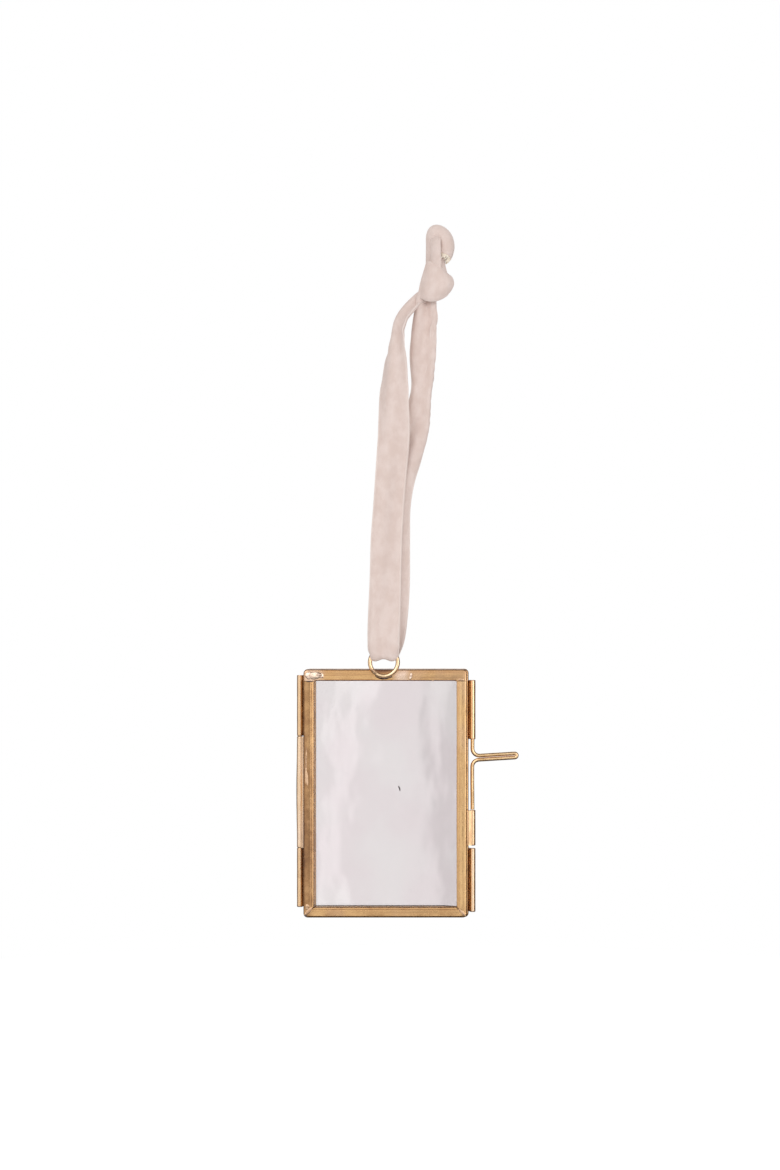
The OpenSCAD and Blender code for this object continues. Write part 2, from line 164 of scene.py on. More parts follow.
def studio_card(name, points, faces, strength, warmth=(1, 1, 1), through=False):
    material, tree = empty_material(name)
    glow = add(tree, "ShaderNodeEmission", {"Color": (*warmth, 1), "Strength": strength})
    glow.name = "glow"
    add(tree, "ShaderNodeOutputMaterial", {"Surface": glow.outputs[0]})
    mesh = bpy.data.meshes.new(name)
    mesh.from_pydata(points, [], faces)
    mesh.materials.append(material)
    card = placed_object(name, mesh)
    card.visible_camera = False
    card.visible_diffuse = False
    card.visible_shadow = False
    card.visible_transmission = through
    return tree


# Each side card is bent round the frame, from beside the camera to behind the object.
card_reach = 0.5
card_steps = 12
for name, side, start in (("left_card", -1, 92), ("right_card", 1, 58)):
    rim = []
    for turn in np.radians(np.linspace(start, 162, card_steps + 1)):
        spot = (side * card_reach * math.sin(turn), -card_reach * math.cos(turn))
        rim += [(*spot, -0.45), (*spot, 0.25)]
    faces = [(2 * i, 2 * i + 2, 2 * i + 3, 2 * i + 1) for i in range(card_steps)]
    studio_card(name, rim, faces, 0.17, (1.0, 0.8, 0.72))
for name, height in (("low_card", -0.292), ("high_card", 0.27)):
    rim = [(-0.4, -0.25, height), (0.4, -0.25, height), (0.4, 0.3, height), (-0.4, 0.3, height)]
    studio_card(name, rim, [(0, 1, 2, 3)], 0.1, (1.0, 0.82, 0.74))

# The panes mirror a soft white card behind the camera. A pale band curves down its left, as it does
# over the glass, and its right edge falls away to grey.
card_y = -0.66
card_left, card_right = -0.075, 0.062
card_foot, card_head = -0.296, -0.12
rim = [(card_left, card_y, card_foot), (card_right, card_y, card_foot),
       (card_right, card_y, card_head), (card_left, card_y, card_head)]
tree = studio_card("front_card", rim, [(0, 1, 2, 3)], 1.0, through=True)
spot = own_place(tree)
bent = add(tree, "ShaderNodeTexNoise", {"Vector": spot, "Scale": 42.0, "Detail": 2.0})
spread = add(tree, "ShaderNodeSeparateXYZ", {0: spot}).outputs
across = ranged(tree, spread[0], -0.0547, 0.0338, smooth=False)
up = ranged(tree, spread[2], -0.2793, -0.1406, smooth=False)
across = plus(tree, across, math_of(tree, "MULTIPLY_ADD", bent.outputs[0], 0.22, -0.11))
middle = math_of(tree, "MULTIPLY_ADD", times(tree, up, up), 0.25, 0.11)
apart = math_of(tree, "ABSOLUTE", minus(tree, across, middle))
band = ranged(tree, apart, 0.03, 0.17, 0.75, 0.0)
edge = ranged(tree, across, 0.76, 1.05, 0.0, 1.7)
shine = minus(tree, plus(tree, band, 0.98), edge)
tree.links.new(math_of(tree, "MAXIMUM", shine, 0.0), tree.nodes["glow"].inputs["Strength"])

# Brass channels. Each half is one strip of half millimetre brass, folded to a U that grips the edge
# of its pane, notched at the two bottom corners, bent up and closed there with a little solder. The
# inner edge of the front flange is turned down on the glass.
half_w = 24.7
top_z = 75.0
cap_z = 71.5
rim_w = 3.1
lip_w = 0.7
half_depth = 3.2
sheet_t = 0.5
fold_r = 0.6
corner_r = 1.3
parting = 0.15
back_shift = 0.6
hang_point = np.array([8.84, -4.0, 182.75])


def steady(value, scale, seed):
    """Smooth unevenness from -1 to 1, the same on every run."""
    return noise.noise(Vector((value[0] * scale + seed * 7.31, value[1] * scale - seed * 3.17,
                               value[2] * scale + seed)))


def solid_piece(name, points, faces, uv, material, sharp=38, marks=None):
    """A mesh from points in millimetres on the frame, with the pattern's own map in millimetres and
    marks from 0 to 1 for its patina with painted shade and its pale washes."""
    mesh = bpy.data.meshes.new(name)
    placed = (np.asarray(points, float) - hang_point) / 1000
    mesh.from_pydata(placed.tolist(), [], faces)
    form = bmesh.new()
    form.from_mesh(mesh)
    if form.calc_volume(signed=True) < 0:
        bmesh.ops.reverse_faces(form, faces=form.faces[:])
    form.to_mesh(mesh)
    form.free()
    if uv is not None:
        layer = mesh.uv_layers.new(name="along")
        corners = np.zeros(len(mesh.loops), np.int32)
        mesh.loops.foreach_get("vertex_index", corners)
        layer.data.foreach_set("uv", np.asarray(uv, np.float32)[corners].ravel())
    for label, values in (marks or {}).items():
        layer = mesh.attributes.new(label, "FLOAT", "POINT")
        layer.data.foreach_set("value", np.asarray(values, np.float32))
    mesh.shade_smooth()
    mesh.set_sharp_from_angle(angle=math.radians(sharp))
    mesh.materials.append(material)
    return placed_object(name, mesh)


def loft(rings, closed=False, first=0):
    """Faces over equal rings of points, with ends filled in unless the rings run in a circle."""
    count, across = len(rings), len(rings[0])
    faces = []
    for i in range(count if closed else count - 1):
        here, there = first + i * across, first + (i + 1) % count * across
        for j in range(across):
            k = (j + 1) % across
            faces.append((here + j, there + j, there + k, here + k))
    if not closed:
        faces.append(tuple(first + j for j in range(across)))
        last = first + (count - 1) * across
        faces.append(tuple(last + j for j in range(across - 1, -1, -1)))
    return faces


def round_lengths(ring):
    """Distance round a ring of points, for the pattern's map."""
    ring = np.asarray(ring, float)
    steps = np.linalg.norm(np.diff(ring, axis=0), axis=1)
    return np.concatenate([[0], np.cumsum(steps)])


def arc_line(x, z, r, start, end, count):
    """Points on an arc, from one angle in degrees to another."""
    turns = np.radians(np.linspace(start, end, count))
    return [(x + r * math.cos(a), z + r * math.sin(a)) for a in turns]


def channel_profile(flange, lip, proud=0.0):
    """Section of the folded strip, as distance in from its outer wall, height over the parting face
    and patina with painted shade, which darkens the turned lip and the folds along their edges and
    is deepest inside the U. The lip along the inner edge slopes down to the pane."""
    face = half_depth + proud
    under = half_depth - sheet_t
    section = [(flange - 0.04, face - 0.57, 0.4), (flange, face - 0.5, 0.4)]
    # The third figure darkens the turned lip, as painted shade where it falls to the pane.
    for share, fall, dark in ((0.05, 0.3, 0.42), (0.16, 0.19, 0.32), (0.7, 0.1, 0.24),
                              (0.88, 0.07, 0.32), (1.0, 0.1, 0.46), (1.12, 0.05, 0.3),
                              (1.3, 0.0, 0.05)):
        section.append((flange - lip * share, face - fall, dark))
    for share in np.linspace(0, 1, 7):
        u = (flange - lip * 1.3 - 0.12) * (1 - share) + fold_r * share
        section.append((u, face + 0.035 * math.sin(math.pi * share), 0.04))
    # Both folds darken towards their outer edges, as painted shade along the edges.
    front_fold = arc_line(fold_r, face - fold_r, fold_r, 90, 180, 9)
    section += [(*spot, 0.1 + 0.45 * (i / 8) ** 1.5) for i, spot in enumerate(front_fold)][1:]
    section += [(0.0, 1.9, 0.14), (0.0, 1.3, 0.12)]
    back_fold = arc_line(fold_r, fold_r, fold_r, 180, 270, 7)
    section += [(*spot, 0.1 + 0.2 * (i / 6) ** 2) for i, spot in enumerate(back_fold)]
    # The inside of the U is darkest, as patina and painted shade in the groove.
    return section + [
        (1.3, 0.0, 0.25), (flange - 0.5, 0.0, 0.2), (flange - 0.06, 0.02, 0.2), (flange, 0.1, 0.2),
        (flange, 0.42, 0.2), (flange - 0.06, sheet_t, 0.2), (1.4, sheet_t, 0.8),
        (sheet_t, sheet_t, 0.9), (sheet_t, 1.5, 0.9), (sheet_t, under, 0.9), (1.4, under, 0.8),
        (flange - 0.5, under, 0.2), (flange - 0.2, under - 0.03, 0.2)]


near_corner = [0.0, 0.05, 0.12, 0.22, 0.4, 0.7, 1.2]


def run_steps(length, pitch, both_ends):
    """Distances from one corner along a run, close together near a corner."""
    end = length - near_corner[-1] if both_ends else length
    middle = np.linspace(near_corner[-1], end, max(3, int(length / pitch)))[1:]
    steps = near_corner + list(middle)
    return steps + [length - s for s in near_corner[-2::-1]] if both_ends else steps


side_steps = run_steps(cap_z - corner_r, 1.1, False)
bottom_steps = run_steps(2 * (half_w - corner_r), 1.1, True)


def channel_path(u):
    """Line of a point of the section round the left side, the bottom and the right side."""
    r = max(corner_r - u, 0.15)
    side = (cap_z - 0.12 - u - r) / (cap_z - corner_r)
    wide = (half_w - u - r) / (half_w - corner_r)
    line = [(-half_w + u, u + r + s * side) for s in reversed(side_steps)]
    line += arc_line(-half_w + u + r, u + r, r, 180, 270, 9)[1:-1]
    line += [((s - half_w + corner_r) * wide, u) for s in bottom_steps]
    line += arc_line(half_w - u - r, u + r, r, 270, 360, 9)[1:-1]
    return line + [(half_w - u, u + r + s * side) for s in side_steps]


mitre_w = 0.085


def folded_strip(section, path, seed, mitred):
    """Rings of points of a strip folded to the section along the path, with hand work's unevenness,
    the map along and across it, and its patina."""
    lines = [path(row[0]) for row in section]
    across = round_lengths([row[:2] for row in section])
    middle = round_lengths(lines[len(lines) // 2])
    rings, uv, patina_and_shade = [], [], []
    for i in range(len(lines[0])):
        ring = []
        for j, (u, d, dark) in enumerate(section):
            x, z = lines[j][i]
            here = (x, d, z)
            outer = min(1, max(0, (d - 1.2) / 1.5))
            d += outer * (0.035 * steady(here, 0.09, seed) + 0.012 * steady(here, 0.5, seed + 3))
            if mitred and u > 0.25:
                off = (half_w - abs(x) - z) / math.sqrt(2)
                d -= outer * mitre_w * math.exp(-(off / mitre_w) ** 2)
                d += outer * 0.05 * math.exp(-(off / 0.55) ** 2) * (1 + steady(here, 1.6, seed))
                dark += outer * 0.7 * math.exp(-(off / 0.12) ** 2)
            wave = 0.03 * steady(here, 0.07, seed + 9)
            ring.append((x + wave, d, z + 0.6 * wave))
            uv.append((middle[i], across[j]))
            patina_and_shade.append(dark)
        rings.append(ring)
    return rings, uv, np.array(patina_and_shade)


def on_half(rings, back):
    """Turns rings of (sideways, height over the parting face, up) to the frame's own directions. The
    back half droops a little at its lower right corner."""
    points = np.array(rings, float).reshape(-1, 3)
    if back:
        corner = np.clip((points[:, 0] - 17) / 6, 0, 1) * np.clip((9 - points[:, 2]) / 6, 0, 1)
        points[:, 2] -= 0.4 * corner
        return points + [back_shift, parting, 0]
    return points * [1, -1, 1] + [0, -parting, 0]


def colour_mix(tree, factor, first, second, kind="MIX"):
    made = add(tree, "ShaderNodeMix", {0: factor, 6: first, 7: second}, data_type="RGBA",
               blend_type=kind)
    return made.outputs[2]


def noise_of(tree, vector, scale, detail=3.0, roughness=0.55, stretch=(1, 1, 1), shift=(0, 0, 0)):
    placed = add(tree, "ShaderNodeMapping", {"Vector": vector, "Scale": stretch, "Location": shift})
    made = add(tree, "ShaderNodeTexNoise", {"Vector": placed.outputs[0], "Scale": scale,
                                            "Detail": detail, "Roughness": roughness})
    return made.outputs["Fac"]


def group_of(name, sockets_in, sockets_out, kind="ShaderNodeTree"):
    """A node group with named inputs and outputs, its inputs' sockets and its output node."""
    tree = bpy.data.node_groups.new(name, kind)
    for label, form, value in sockets_in:
        socket = tree.interface.new_socket(label, in_out="INPUT", socket_type="NodeSocket" + form)
        if value is not None:
            socket.default_value = value
    for label, form in sockets_out:
        tree.interface.new_socket(label, in_out="OUTPUT", socket_type="NodeSocket" + form)
    return tree, tree.nodes.new("NodeGroupInput").outputs, tree.nodes.new("NodeGroupOutput")


def finish_group(tree, output, results):
    for label, value in results.items():
        tree.links.new(value, output.inputs[label])


# Streaks drawn along the strip, brown tarnish in patches, a pale or pink wash, dark patina and
# painted shade in the folds and gaps, and a fine grain, for all the brass.
aged, given, out = group_of(
    "aged_brass",
    [("Map", "Vector", None), ("Place", "Vector", None), ("Patina_and_shade", "Float", 0.0),
     ("Wash", "Float", 0.0), ("Bright", "Color", (0.7, 0.47, 0.24, 1)),
     ("Tarnish", "Color", (0.36, 0.2, 0.1, 1)), ("Bloom", "Color", (0.62, 0.45, 0.37, 1)),
     ("Washed", "Color", (0.7, 0.5, 0.4, 1)), ("Deep", "Color", (0.17, 0.085, 0.05, 1)),
     ("Streaks", "Float", 0.5), ("Patches", "Float", 0.4), ("Blush", "Float", 0.3)],
    [("Color", "Color"), ("Roughness", "Float"), ("Height", "Float")])
drawn = noise_of(aged, given["Map"], 1.0, 4, 0.6, (0.035, 4.2, 1))
fine_drawn = noise_of(aged, given["Map"], 1.0, 2, 0.5, (0.3, 13, 1), (3, 1, 0))
patch = noise_of(aged, given["Place"], 240, 4, 0.62)
blush = noise_of(aged, given["Place"], 95, 2, 0.5, (1, 1, 0.55), (0.3, 0.1, 0.7))
grain = noise_of(aged, given["Place"], 5200, 2, 0.5)
both_drawn = plus(aged, times(aged, drawn, 0.7), times(aged, fine_drawn, 0.3))
uneven = math_of(aged, "MULTIPLY_ADD", patch, 1.6, 0.2)
# The patina marks hold real patina and painted shade alike; both darken towards the tarnish and deep
# colours.
patina_and_shade_amount = times(aged, given["Patina_and_shade"], uneven, clamp=True)
colour = given["Bright"]
for amount, layer in (
    (times(aged, ranged(aged, both_drawn, 0.42, 0.6), given["Streaks"]), "Tarnish"),
    (times(aged, ranged(aged, patch, 0.52, 0.7), given["Patches"]), "Tarnish"),
    (times(aged, ranged(aged, blush, 0.48, 0.66), given["Blush"]), "Bloom"),
    (times(aged, given["Wash"], uneven, clamp=True), "Washed"),
    (times(aged, patina_and_shade_amount, 1.5, clamp=True), "Tarnish"),
    (math_of(aged, "MULTIPLY_ADD", patina_and_shade_amount, 2.0, -1.0, clamp=True), "Deep"),
):
    colour = colour_mix(aged, amount, colour, given[layer])
grit = times(aged, minus(aged, grain, 0.5), 0.14)
rough = plus(aged, ranged(aged, patch, 0.35, 0.7, 0.2, 0.34), grit)
height = plus(aged, times(aged, fine_drawn, 0.6), plus(aged, times(aged, grain, 0.25), patch))
finish_group(aged, out, {"Color": colour, "Roughness": rough, "Height": height})


def bumped(tree, height, strength, distance):
    return add(tree, "ShaderNodeBump", {"Height": height, "Strength": strength,
                                        "Distance": distance}).outputs[0]


def principled(tree, inputs):
    shader = add(tree, "ShaderNodeBsdfPrincipled", inputs)
    add(tree, "ShaderNodeOutputMaterial", {"Surface": shader.outputs[0]})


def brass_finish(name, bright, tarnish, bloom, streaks, patches, blush, washed=(0.6, 0.4, 0.34),
                 bump=0.012, mapped=True):
    """Satin brass. A piece with no map of its own takes its streaks from its place."""
    material, tree = empty_material(name)
    place = own_place(tree)
    if mapped:
        pattern = add(tree, "ShaderNodeUVMap", uv_map="along").outputs[0]
    else:
        pattern = add(tree, "ShaderNodeMapping", {"Vector": place, "Rotation": (0, math.pi / 2, 0),
                                                  "Scale": (1000, 1000, 1000)}).outputs[0]
    look = add(tree, "ShaderNodeGroup", node_tree=aged)
    marks = {label: add(tree, "ShaderNodeAttribute", attribute_name=label.lower()).outputs["Fac"]
             for label in ("Patina_and_shade", "Wash")}
    for label, socket in {"Map": pattern, "Place": place, **marks}.items():
        tree.links.new(socket, look.inputs[label])
    for label, colour in (("Bright", bright), ("Tarnish", tarnish), ("Bloom", bloom),
                          ("Washed", washed)):
        look.inputs[label].default_value = (*colour, 1)
    for label, amount in (("Streaks", streaks), ("Patches", patches), ("Blush", blush)):
        look.inputs[label].default_value = amount
    relief = bumped(tree, look.outputs["Height"], 0.35, bump / 1000)
    principled(tree, {"Base Color": look.outputs["Color"], "Metallic": 1.0,
                      "Roughness": look.outputs["Roughness"], "Normal": relief})
    return material


def brass_part(node, way, back, points, faces, uv, material, patina_and_shade, wash, sharp=38):
    """A brass piece on the front or the back half, which stands for the CAD node of its name."""
    made = solid_piece(node + way, points, faces, uv, material, sharp,
                       {"patina_and_shade": patina_and_shade, "wash": wash})
    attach(made, "back_half" if back else "front_half")
    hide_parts(node)


channel_brass = brass_finish("antique_brass_channel", (0.83, 0.545, 0.265), (0.45, 0.245, 0.11),
                             (0.72, 0.48, 0.32), 0.6, 0.35, 0.4)


def channel_piece(node, back, seed):
    """The left side is browner than the right, and turns pink towards its foot."""
    rings, uv, patina_and_shade = folded_strip(channel_profile(rim_w, lip_w), channel_path, seed, True)
    flat = np.array(rings, float).reshape(-1, 3)
    left = np.clip((-flat[:, 0] - 21.4) / 1.5, 0, 1)
    low = np.exp(-((flat[:, 2] - 21) / 13) ** 2)
    foot = np.clip(1.6 - flat[:, 2] / 3, 0, 1)
    patina_and_shade = patina_and_shade + (0.54 + 0.16 * low) * left * (1 - foot) + 0.26 * foot
    brass_part(node, "_folded", back, on_half(rings, back), loft(rings), uv, channel_brass,
               patina_and_shade, 0.6 * left * low)


channel_piece("front_channel", False, 4)
channel_piece("back_channel", True, 11)

# Panes. Two pieces of slightly wavy two millimetre glass, one in each channel. They are as the CAD
# has them, so they only get their glass: clear, faintly warm and grey, with soft ripples.
glass, tree = empty_material("wavy_glass")
place = own_place(tree)
slow = noise_of(tree, place, 34, 2, 0.4, (1, 0.3, 0.55), (0.1, 0, 0.2))
quick_wave = noise_of(tree, place, 120, 2, 0.5, (1, 0.3, 0.6), (0.4, 0, 0))
ripple = plus(tree, slow, times(tree, quick_wave, 0.16))
relief = bumped(tree, ripple, 0.5, 0.0006)
tinted = ranged(tree, noise_of(tree, place, 60, 2, 0.5), 0.35, 0.65)
tint = colour_mix(tree, tinted, (0.867, 0.826, 0.834, 1), (0.876, 0.85, 0.852, 1))
haze = ranged(tree, noise_of(tree, place, 300, 3, 0.6), 0.4, 0.75, 0.012, 0.05)
principled(tree, {"Base Color": tint, "Metallic": 0.0, "Roughness": haze, "IOR": 1.5,
                  "Transmission Weight": 1.0, "Normal": relief})


def refinish(node, material):
    """A CAD node keeps its shape and gets the material."""
    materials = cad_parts[node].data.materials
    materials.clear()
    materials.append(material)


refinish("front_glass", glass)
refinish("back_glass", glass)

# Caps. A straight strip folded over the open top of each half and soldered to the channel's two
# sides, which it laps by a hair.
cap_brass = brass_finish("antique_brass_cap", (0.73, 0.455, 0.21), (0.42, 0.215, 0.10),
                         (0.72, 0.47, 0.31), 0.6, 0.35, 0.4, (0.90, 0.68, 0.54))
cap_proud = 0.12
ring_x = -0.4


def cap_path(u):
    """Line of a point of the cap's section, up its left end, along the top and down its right end."""
    r = max(corner_r - u, 0.15)
    leg = max(top_z - u - r - cap_z, 0.02)
    wide = half_w - u - r
    line = [(-half_w + u, top_z - u - r - leg * s) for s in (1, 0.66, 0.33, 0)]
    line += arc_line(-wide, top_z - u - r, r, 180, 90, 9)[1:-1]
    line += [(x * wide, top_z - u) for x in np.linspace(-1, 1, 60)]
    line += arc_line(wide, top_z - u - r, r, 90, 0, 9)[1:-1]
    return line + [(half_w - u, top_z - u - r - leg * s) for s in (0, 0.33, 0.66, 1)]


def cap_piece(node, back, seed):
    """The front cap is darkened round the foot of the ring with painted shade of the ring, and
    washed pale where solder ran to its right. Both caps darken a little along the top fold.
    """
    section = channel_profile(top_z - cap_z, 0.25, cap_proud)
    rings, _, patina_and_shade = folded_strip(section, cap_path, seed, False)
    flat = np.array(rings, float).reshape(-1, 3)
    uv = np.stack([flat[:, 0], flat[:, 2] - flat[:, 1]], 1)
    wash = np.zeros(len(flat))
    patina_and_shade = patina_and_shade + 0.2 * np.clip((flat[:, 2] - 73.5) / 0.8, 0, 1)
    if not back:
        # Painted shade of the ring on the cap round its foot.
        under = np.exp(-((flat[:, 0] - ring_x) / 3.4) ** 2) * np.clip((flat[:, 2] - 72.6) / 2, 0, 1)
        wash = np.clip(1.4 - np.abs(flat[:, 0] - 4.9) / 2.2, 0, 1)
        wash += 0.8 * np.clip(1.3 - np.abs(flat[:, 0] + 22) / 3, 0, 1)
        patina_and_shade = patina_and_shade + 0.75 * under
    brass_part(node, "_folded", back, on_half(rings, back), loft(rings), uv, cap_brass, patina_and_shade, wash)


cap_piece("front_cap", False, 21)
cap_piece("back_cap", True, 27)

# Hinge. Three knuckles of thin brass rolled round a wire, each soldered to its half by a leaf on the
# side of the channel. The long middle one belongs to the front half. The pin is a straight wire.
wire_r = 0.55
knuckle_wall = 0.3
knuckle_r = 0.91
side_gap = 0.25
leaf_top = 2.75
hinge_x = -(half_w + side_gap + knuckle_r)
clasp_x = half_w + back_shift + side_gap + knuckle_r
knuckle_brass = brass_finish("antique_brass_knuckle", (0.86, 0.595, 0.355), (0.44, 0.24, 0.115),
                             (0.87, 0.64, 0.48), 0.4, 0.36, 0.5, (0.98, 0.78, 0.60))


def knuckle_piece(node, side, back, foot, length, slit, seed, play=0.06, swell=0.0, pale=0.0):
    """Rolled tube that closes at the angle slit, with its leaf. Angles run from the side away from
    the frame towards the knuckle's own half."""
    web_x = side * half_w + (back_shift if back else 0)
    reach = abs((hinge_x if side < 0 else clasp_x) - web_x)
    tube, leaf, marks = [], [], []
    stations = [0, 0.05, 0.12, 0.3] + list(np.linspace(0.8, length - 0.8, int(length / 0.7)))
    stations += [length - 0.3, length - 0.12, length - 0.05, length]
    shares = np.linspace(0, 1, 33)
    for z in stations:
        end = min(z, length - z)
        chamfer = 0.07 * max(0, 1 - end / 0.12)
        bulge = swell * math.sin(math.pi * z / length) ** 2
        gap = 0.07 + 0.03 * steady((z, 0, 0), 0.4, seed) + 0.05 * max(0, 1 - end / 0.8)
        turns = math.radians(slit) + gap / knuckle_r + shares * 2 * (math.pi - gap / knuckle_r)
        ring = []
        for t, a in zip(shares, turns):
            lift = 0.05 * max(0, 1 - t / 0.06) ** 2
            r = knuckle_r - chamfer + lift + bulge
            r += 0.018 * steady((z, 3 * math.cos(a), 3 * math.sin(a)), 0.35, seed)
            ring.append((reach + r * math.cos(a), r * math.sin(a), z))
            # The marks darken the seam, a real dark joint, and the tube's two ends, as painted shade in
            # the gaps between knuckles.
            seam = math.exp(-(min(t, 1 - t) / 0.035) ** 2)
            marks.append(0.7 * seam + 0.55 * math.exp(-end / 0.2))
        bore = wire_r + play + 0.5 * chamfer
        tube.append(ring + [(reach + bore * math.cos(a), bore * math.sin(a), z) for a in turns[::-1]])
        # The bore is darkest, as painted shade inside the tube.
        marks += [1.0] * len(turns)
    inner = knuckle_r * 0.97
    on_tube = [(reach + inner * math.cos(a), inner * math.sin(a)) for a in np.radians((105, 163))]
    leaf_line = np.array([
        (0.0, 0.4), (0.0, 1.5), (0.0, leaf_top), (0.08, leaf_top + 0.05),
        (knuckle_wall - 0.08, leaf_top + 0.05), (knuckle_wall, leaf_top), (knuckle_wall, 1.75),
        (knuckle_wall + 0.04, 1.35), (knuckle_wall + 0.2, 1.08), on_tube[0], (reach - 0.1, 0.75),
        (reach - 0.63, 0.4), on_tube[1]])
    for z in stations:
        trim = 0.05 * max(0, 1 - min(z, length - z) / 0.12)
        outline = leaf_line + (leaf_line.mean(axis=0) - leaf_line) * trim
        leaf.append([(x, y, z) for x, y in outline])
    # The leaf is darker where it runs out to the tube, as painted shade in the gap beside the channel.
    marks += [0.3 if x > knuckle_wall + 0.1 else 0.12 for ring in leaf for x, _, _ in ring]
    uv = []
    for ring in (tube[5], leaf[5]):
        uv += [(z, over) for z in stations for over in round_lengths([p[:2] for p in ring])]
    points = np.array([p for ring in tube + leaf for p in ring])
    placed = points * [side, 1 if back else -1, 1] + [web_x, 0, foot]
    faces = loft(tube) + loft(leaf, first=len(tube) * len(tube[0]))
    brass_part(node, "_rolled", back, placed, faces, uv, knuckle_brass, marks,
               np.full(len(marks), pale), 35)


knuckle_piece("back_hinge_knuckle_lower", -1, True, 2.9, 17.8, 203, 31, play=0.0)
knuckle_piece("front_hinge_knuckle", -1, False, 20.86, 33.68, 200, 32, swell=0.2, pale=0.4)
knuckle_piece("back_hinge_knuckle_upper", -1, True, 54.7, 18.4, 215, 33, play=0.0)

pin_brass = brass_finish("brass_pin", (0.86, 0.60, 0.34), (0.42, 0.24, 0.10), (0.8, 0.62, 0.42),
                         0.3, 0.4, 0.25, bump=0.006, mapped=False)
refinish("hinge_pin", pin_brass)

# Clasp. Three more knuckles on the right, and one wire bent by hand to two legs with a doubled
# finger loop between them. The wire slides in the upper knuckle and drops through the middle one.
knuckle_piece("back_clasp_knuckle_lower", 1, True, 1.4, 19.2, 196, 41, play=0.12, pale=0.4)
knuckle_piece("front_clasp_knuckle", 1, False, 21.5, 10.7, 250, 42, play=0.14)
knuckle_piece("back_clasp_knuckle_upper", 1, True, 53.7, 17.9, 216, 43, play=0.12)


def ended_in(tree, out, label, geometry, material):
    """Ends a Geometry Nodes tree with real meshes in the piece's own material."""
    real = add(tree, "GeometryNodeRealizeInstances", {"Geometry": geometry})
    painted = add(tree, "GeometryNodeSetMaterial", {"Geometry": real.outputs[0],
                                                    "Material": material})
    finish_group(tree, out, {label: painted.outputs[0]})


def drawn_wire_tree():
    """Geometry Nodes that draw a round wire along a line, a little uneven, with a map along it."""
    tree, given, out = group_of(
        "drawn_wire",
        [("Line", "Geometry", None), ("Wire diameter", "Float", 0.001),
         ("Unevenness", "Float", 0.03), ("Sides", "Int", 20), ("Step", "Float", 0.0003),
         ("Seed", "Float", 1.0), ("Brass", "Material", None)],
        [("Wire", "Geometry")], "GeometryNodeTree")
    even = add(tree, "GeometryNodeResampleCurve", {"Curve": given["Line"], "Length": given["Step"]},
               mode="LENGTH")
    place = add(tree, "GeometryNodeInputPosition")
    wobble = add(tree, "ShaderNodeTexNoise", {"Vector": place.outputs[0], "Scale": 420.0,
                                              "Detail": 2.0, "W": given["Seed"]},
                 noise_dimensions="4D")
    centred = minus(tree, wobble.outputs[0], 0.5)
    share = math_of(tree, "MULTIPLY_ADD", centred, given["Unevenness"], 1.0)
    profile = add(tree, "GeometryNodeCurvePrimitiveCircle", {
        "Resolution": given["Sides"], "Radius": times(tree, given["Wire diameter"], 0.5)})
    kept = []
    for line, label in ((even, "along"), (profile, "round")):
        length = add(tree, "GeometryNodeSplineParameter").outputs["Length"]
        keeper = add(tree, "GeometryNodeCaptureAttribute", {"Geometry": line.outputs[0]},
                     domain="POINT")
        keeper.capture_items.new("FLOAT", label)
        tree.links.new(length, keeper.inputs[label])
        kept.append(keeper.outputs)
    along, over = kept
    swept = add(tree, "GeometryNodeCurveToMesh", {
        "Curve": along[0], "Profile Curve": over[0], "Scale": share, "Fill Caps": True})
    both = add(tree, "ShaderNodeCombineXYZ", {0: times(tree, along["along"], 1000.0),
                                              1: times(tree, over["round"], 1000.0)})
    mapped = add(tree, "GeometryNodeStoreNamedAttribute", {
        "Geometry": swept.outputs[0], "Name": "along", "Value": both.outputs[0]},
        data_type="FLOAT2", domain="CORNER")
    ended_in(tree, out, "Wire", mapped.outputs[0], given["Brass"])
    return tree


wire_tree = drawn_wire_tree()


def face_outwards(mesh):
    form = bmesh.new()
    form.from_mesh(mesh)
    bmesh.ops.recalc_face_normals(form, faces=form.faces[:])
    form.to_mesh(mesh)
    form.free()


def grown_piece(name, line, tree, values, closed=False):
    """What Geometry Nodes make along a line of points in millimetres, as a plain mesh."""
    spots = (np.array(line, float) - hang_point) / 1000
    curve = bpy.data.curves.new(name + "_line", "CURVE")
    curve.dimensions = "3D"
    spline = curve.splines.new("POLY")
    spline.points.add(len(spots) - 1)
    spline.points.foreach_set("co", np.hstack([spots, np.ones((len(spots), 1))]).ravel())
    spline.use_cyclic_u = closed
    guide = placed_object(name + "_line", curve)
    layer = guide.modifiers.new("grown", "NODES")
    layer.node_group = tree
    for item in tree.interface.items_tree:
        if item.in_out == "INPUT" and item.name in values:
            layer[item.identifier] = values[item.name]
    bpy.context.view_layer.update()
    graph = bpy.context.evaluated_depsgraph_get()
    mesh = bpy.data.meshes.new_from_object(guide.evaluated_get(graph))
    bpy.data.objects.remove(guide)
    face_outwards(mesh)
    mesh.shade_smooth()
    mesh.set_sharp_from_angle(angle=math.radians(50))
    return placed_object(name, mesh)


def wire_piece(name, line, diameter, material, closed=False, uneven=0.03, seed=1.0):
    return grown_piece(name, line, wire_tree, {
        "Wire diameter": diameter / 1000, "Unevenness": uneven, "Seed": seed, "Brass": material
    }, closed)


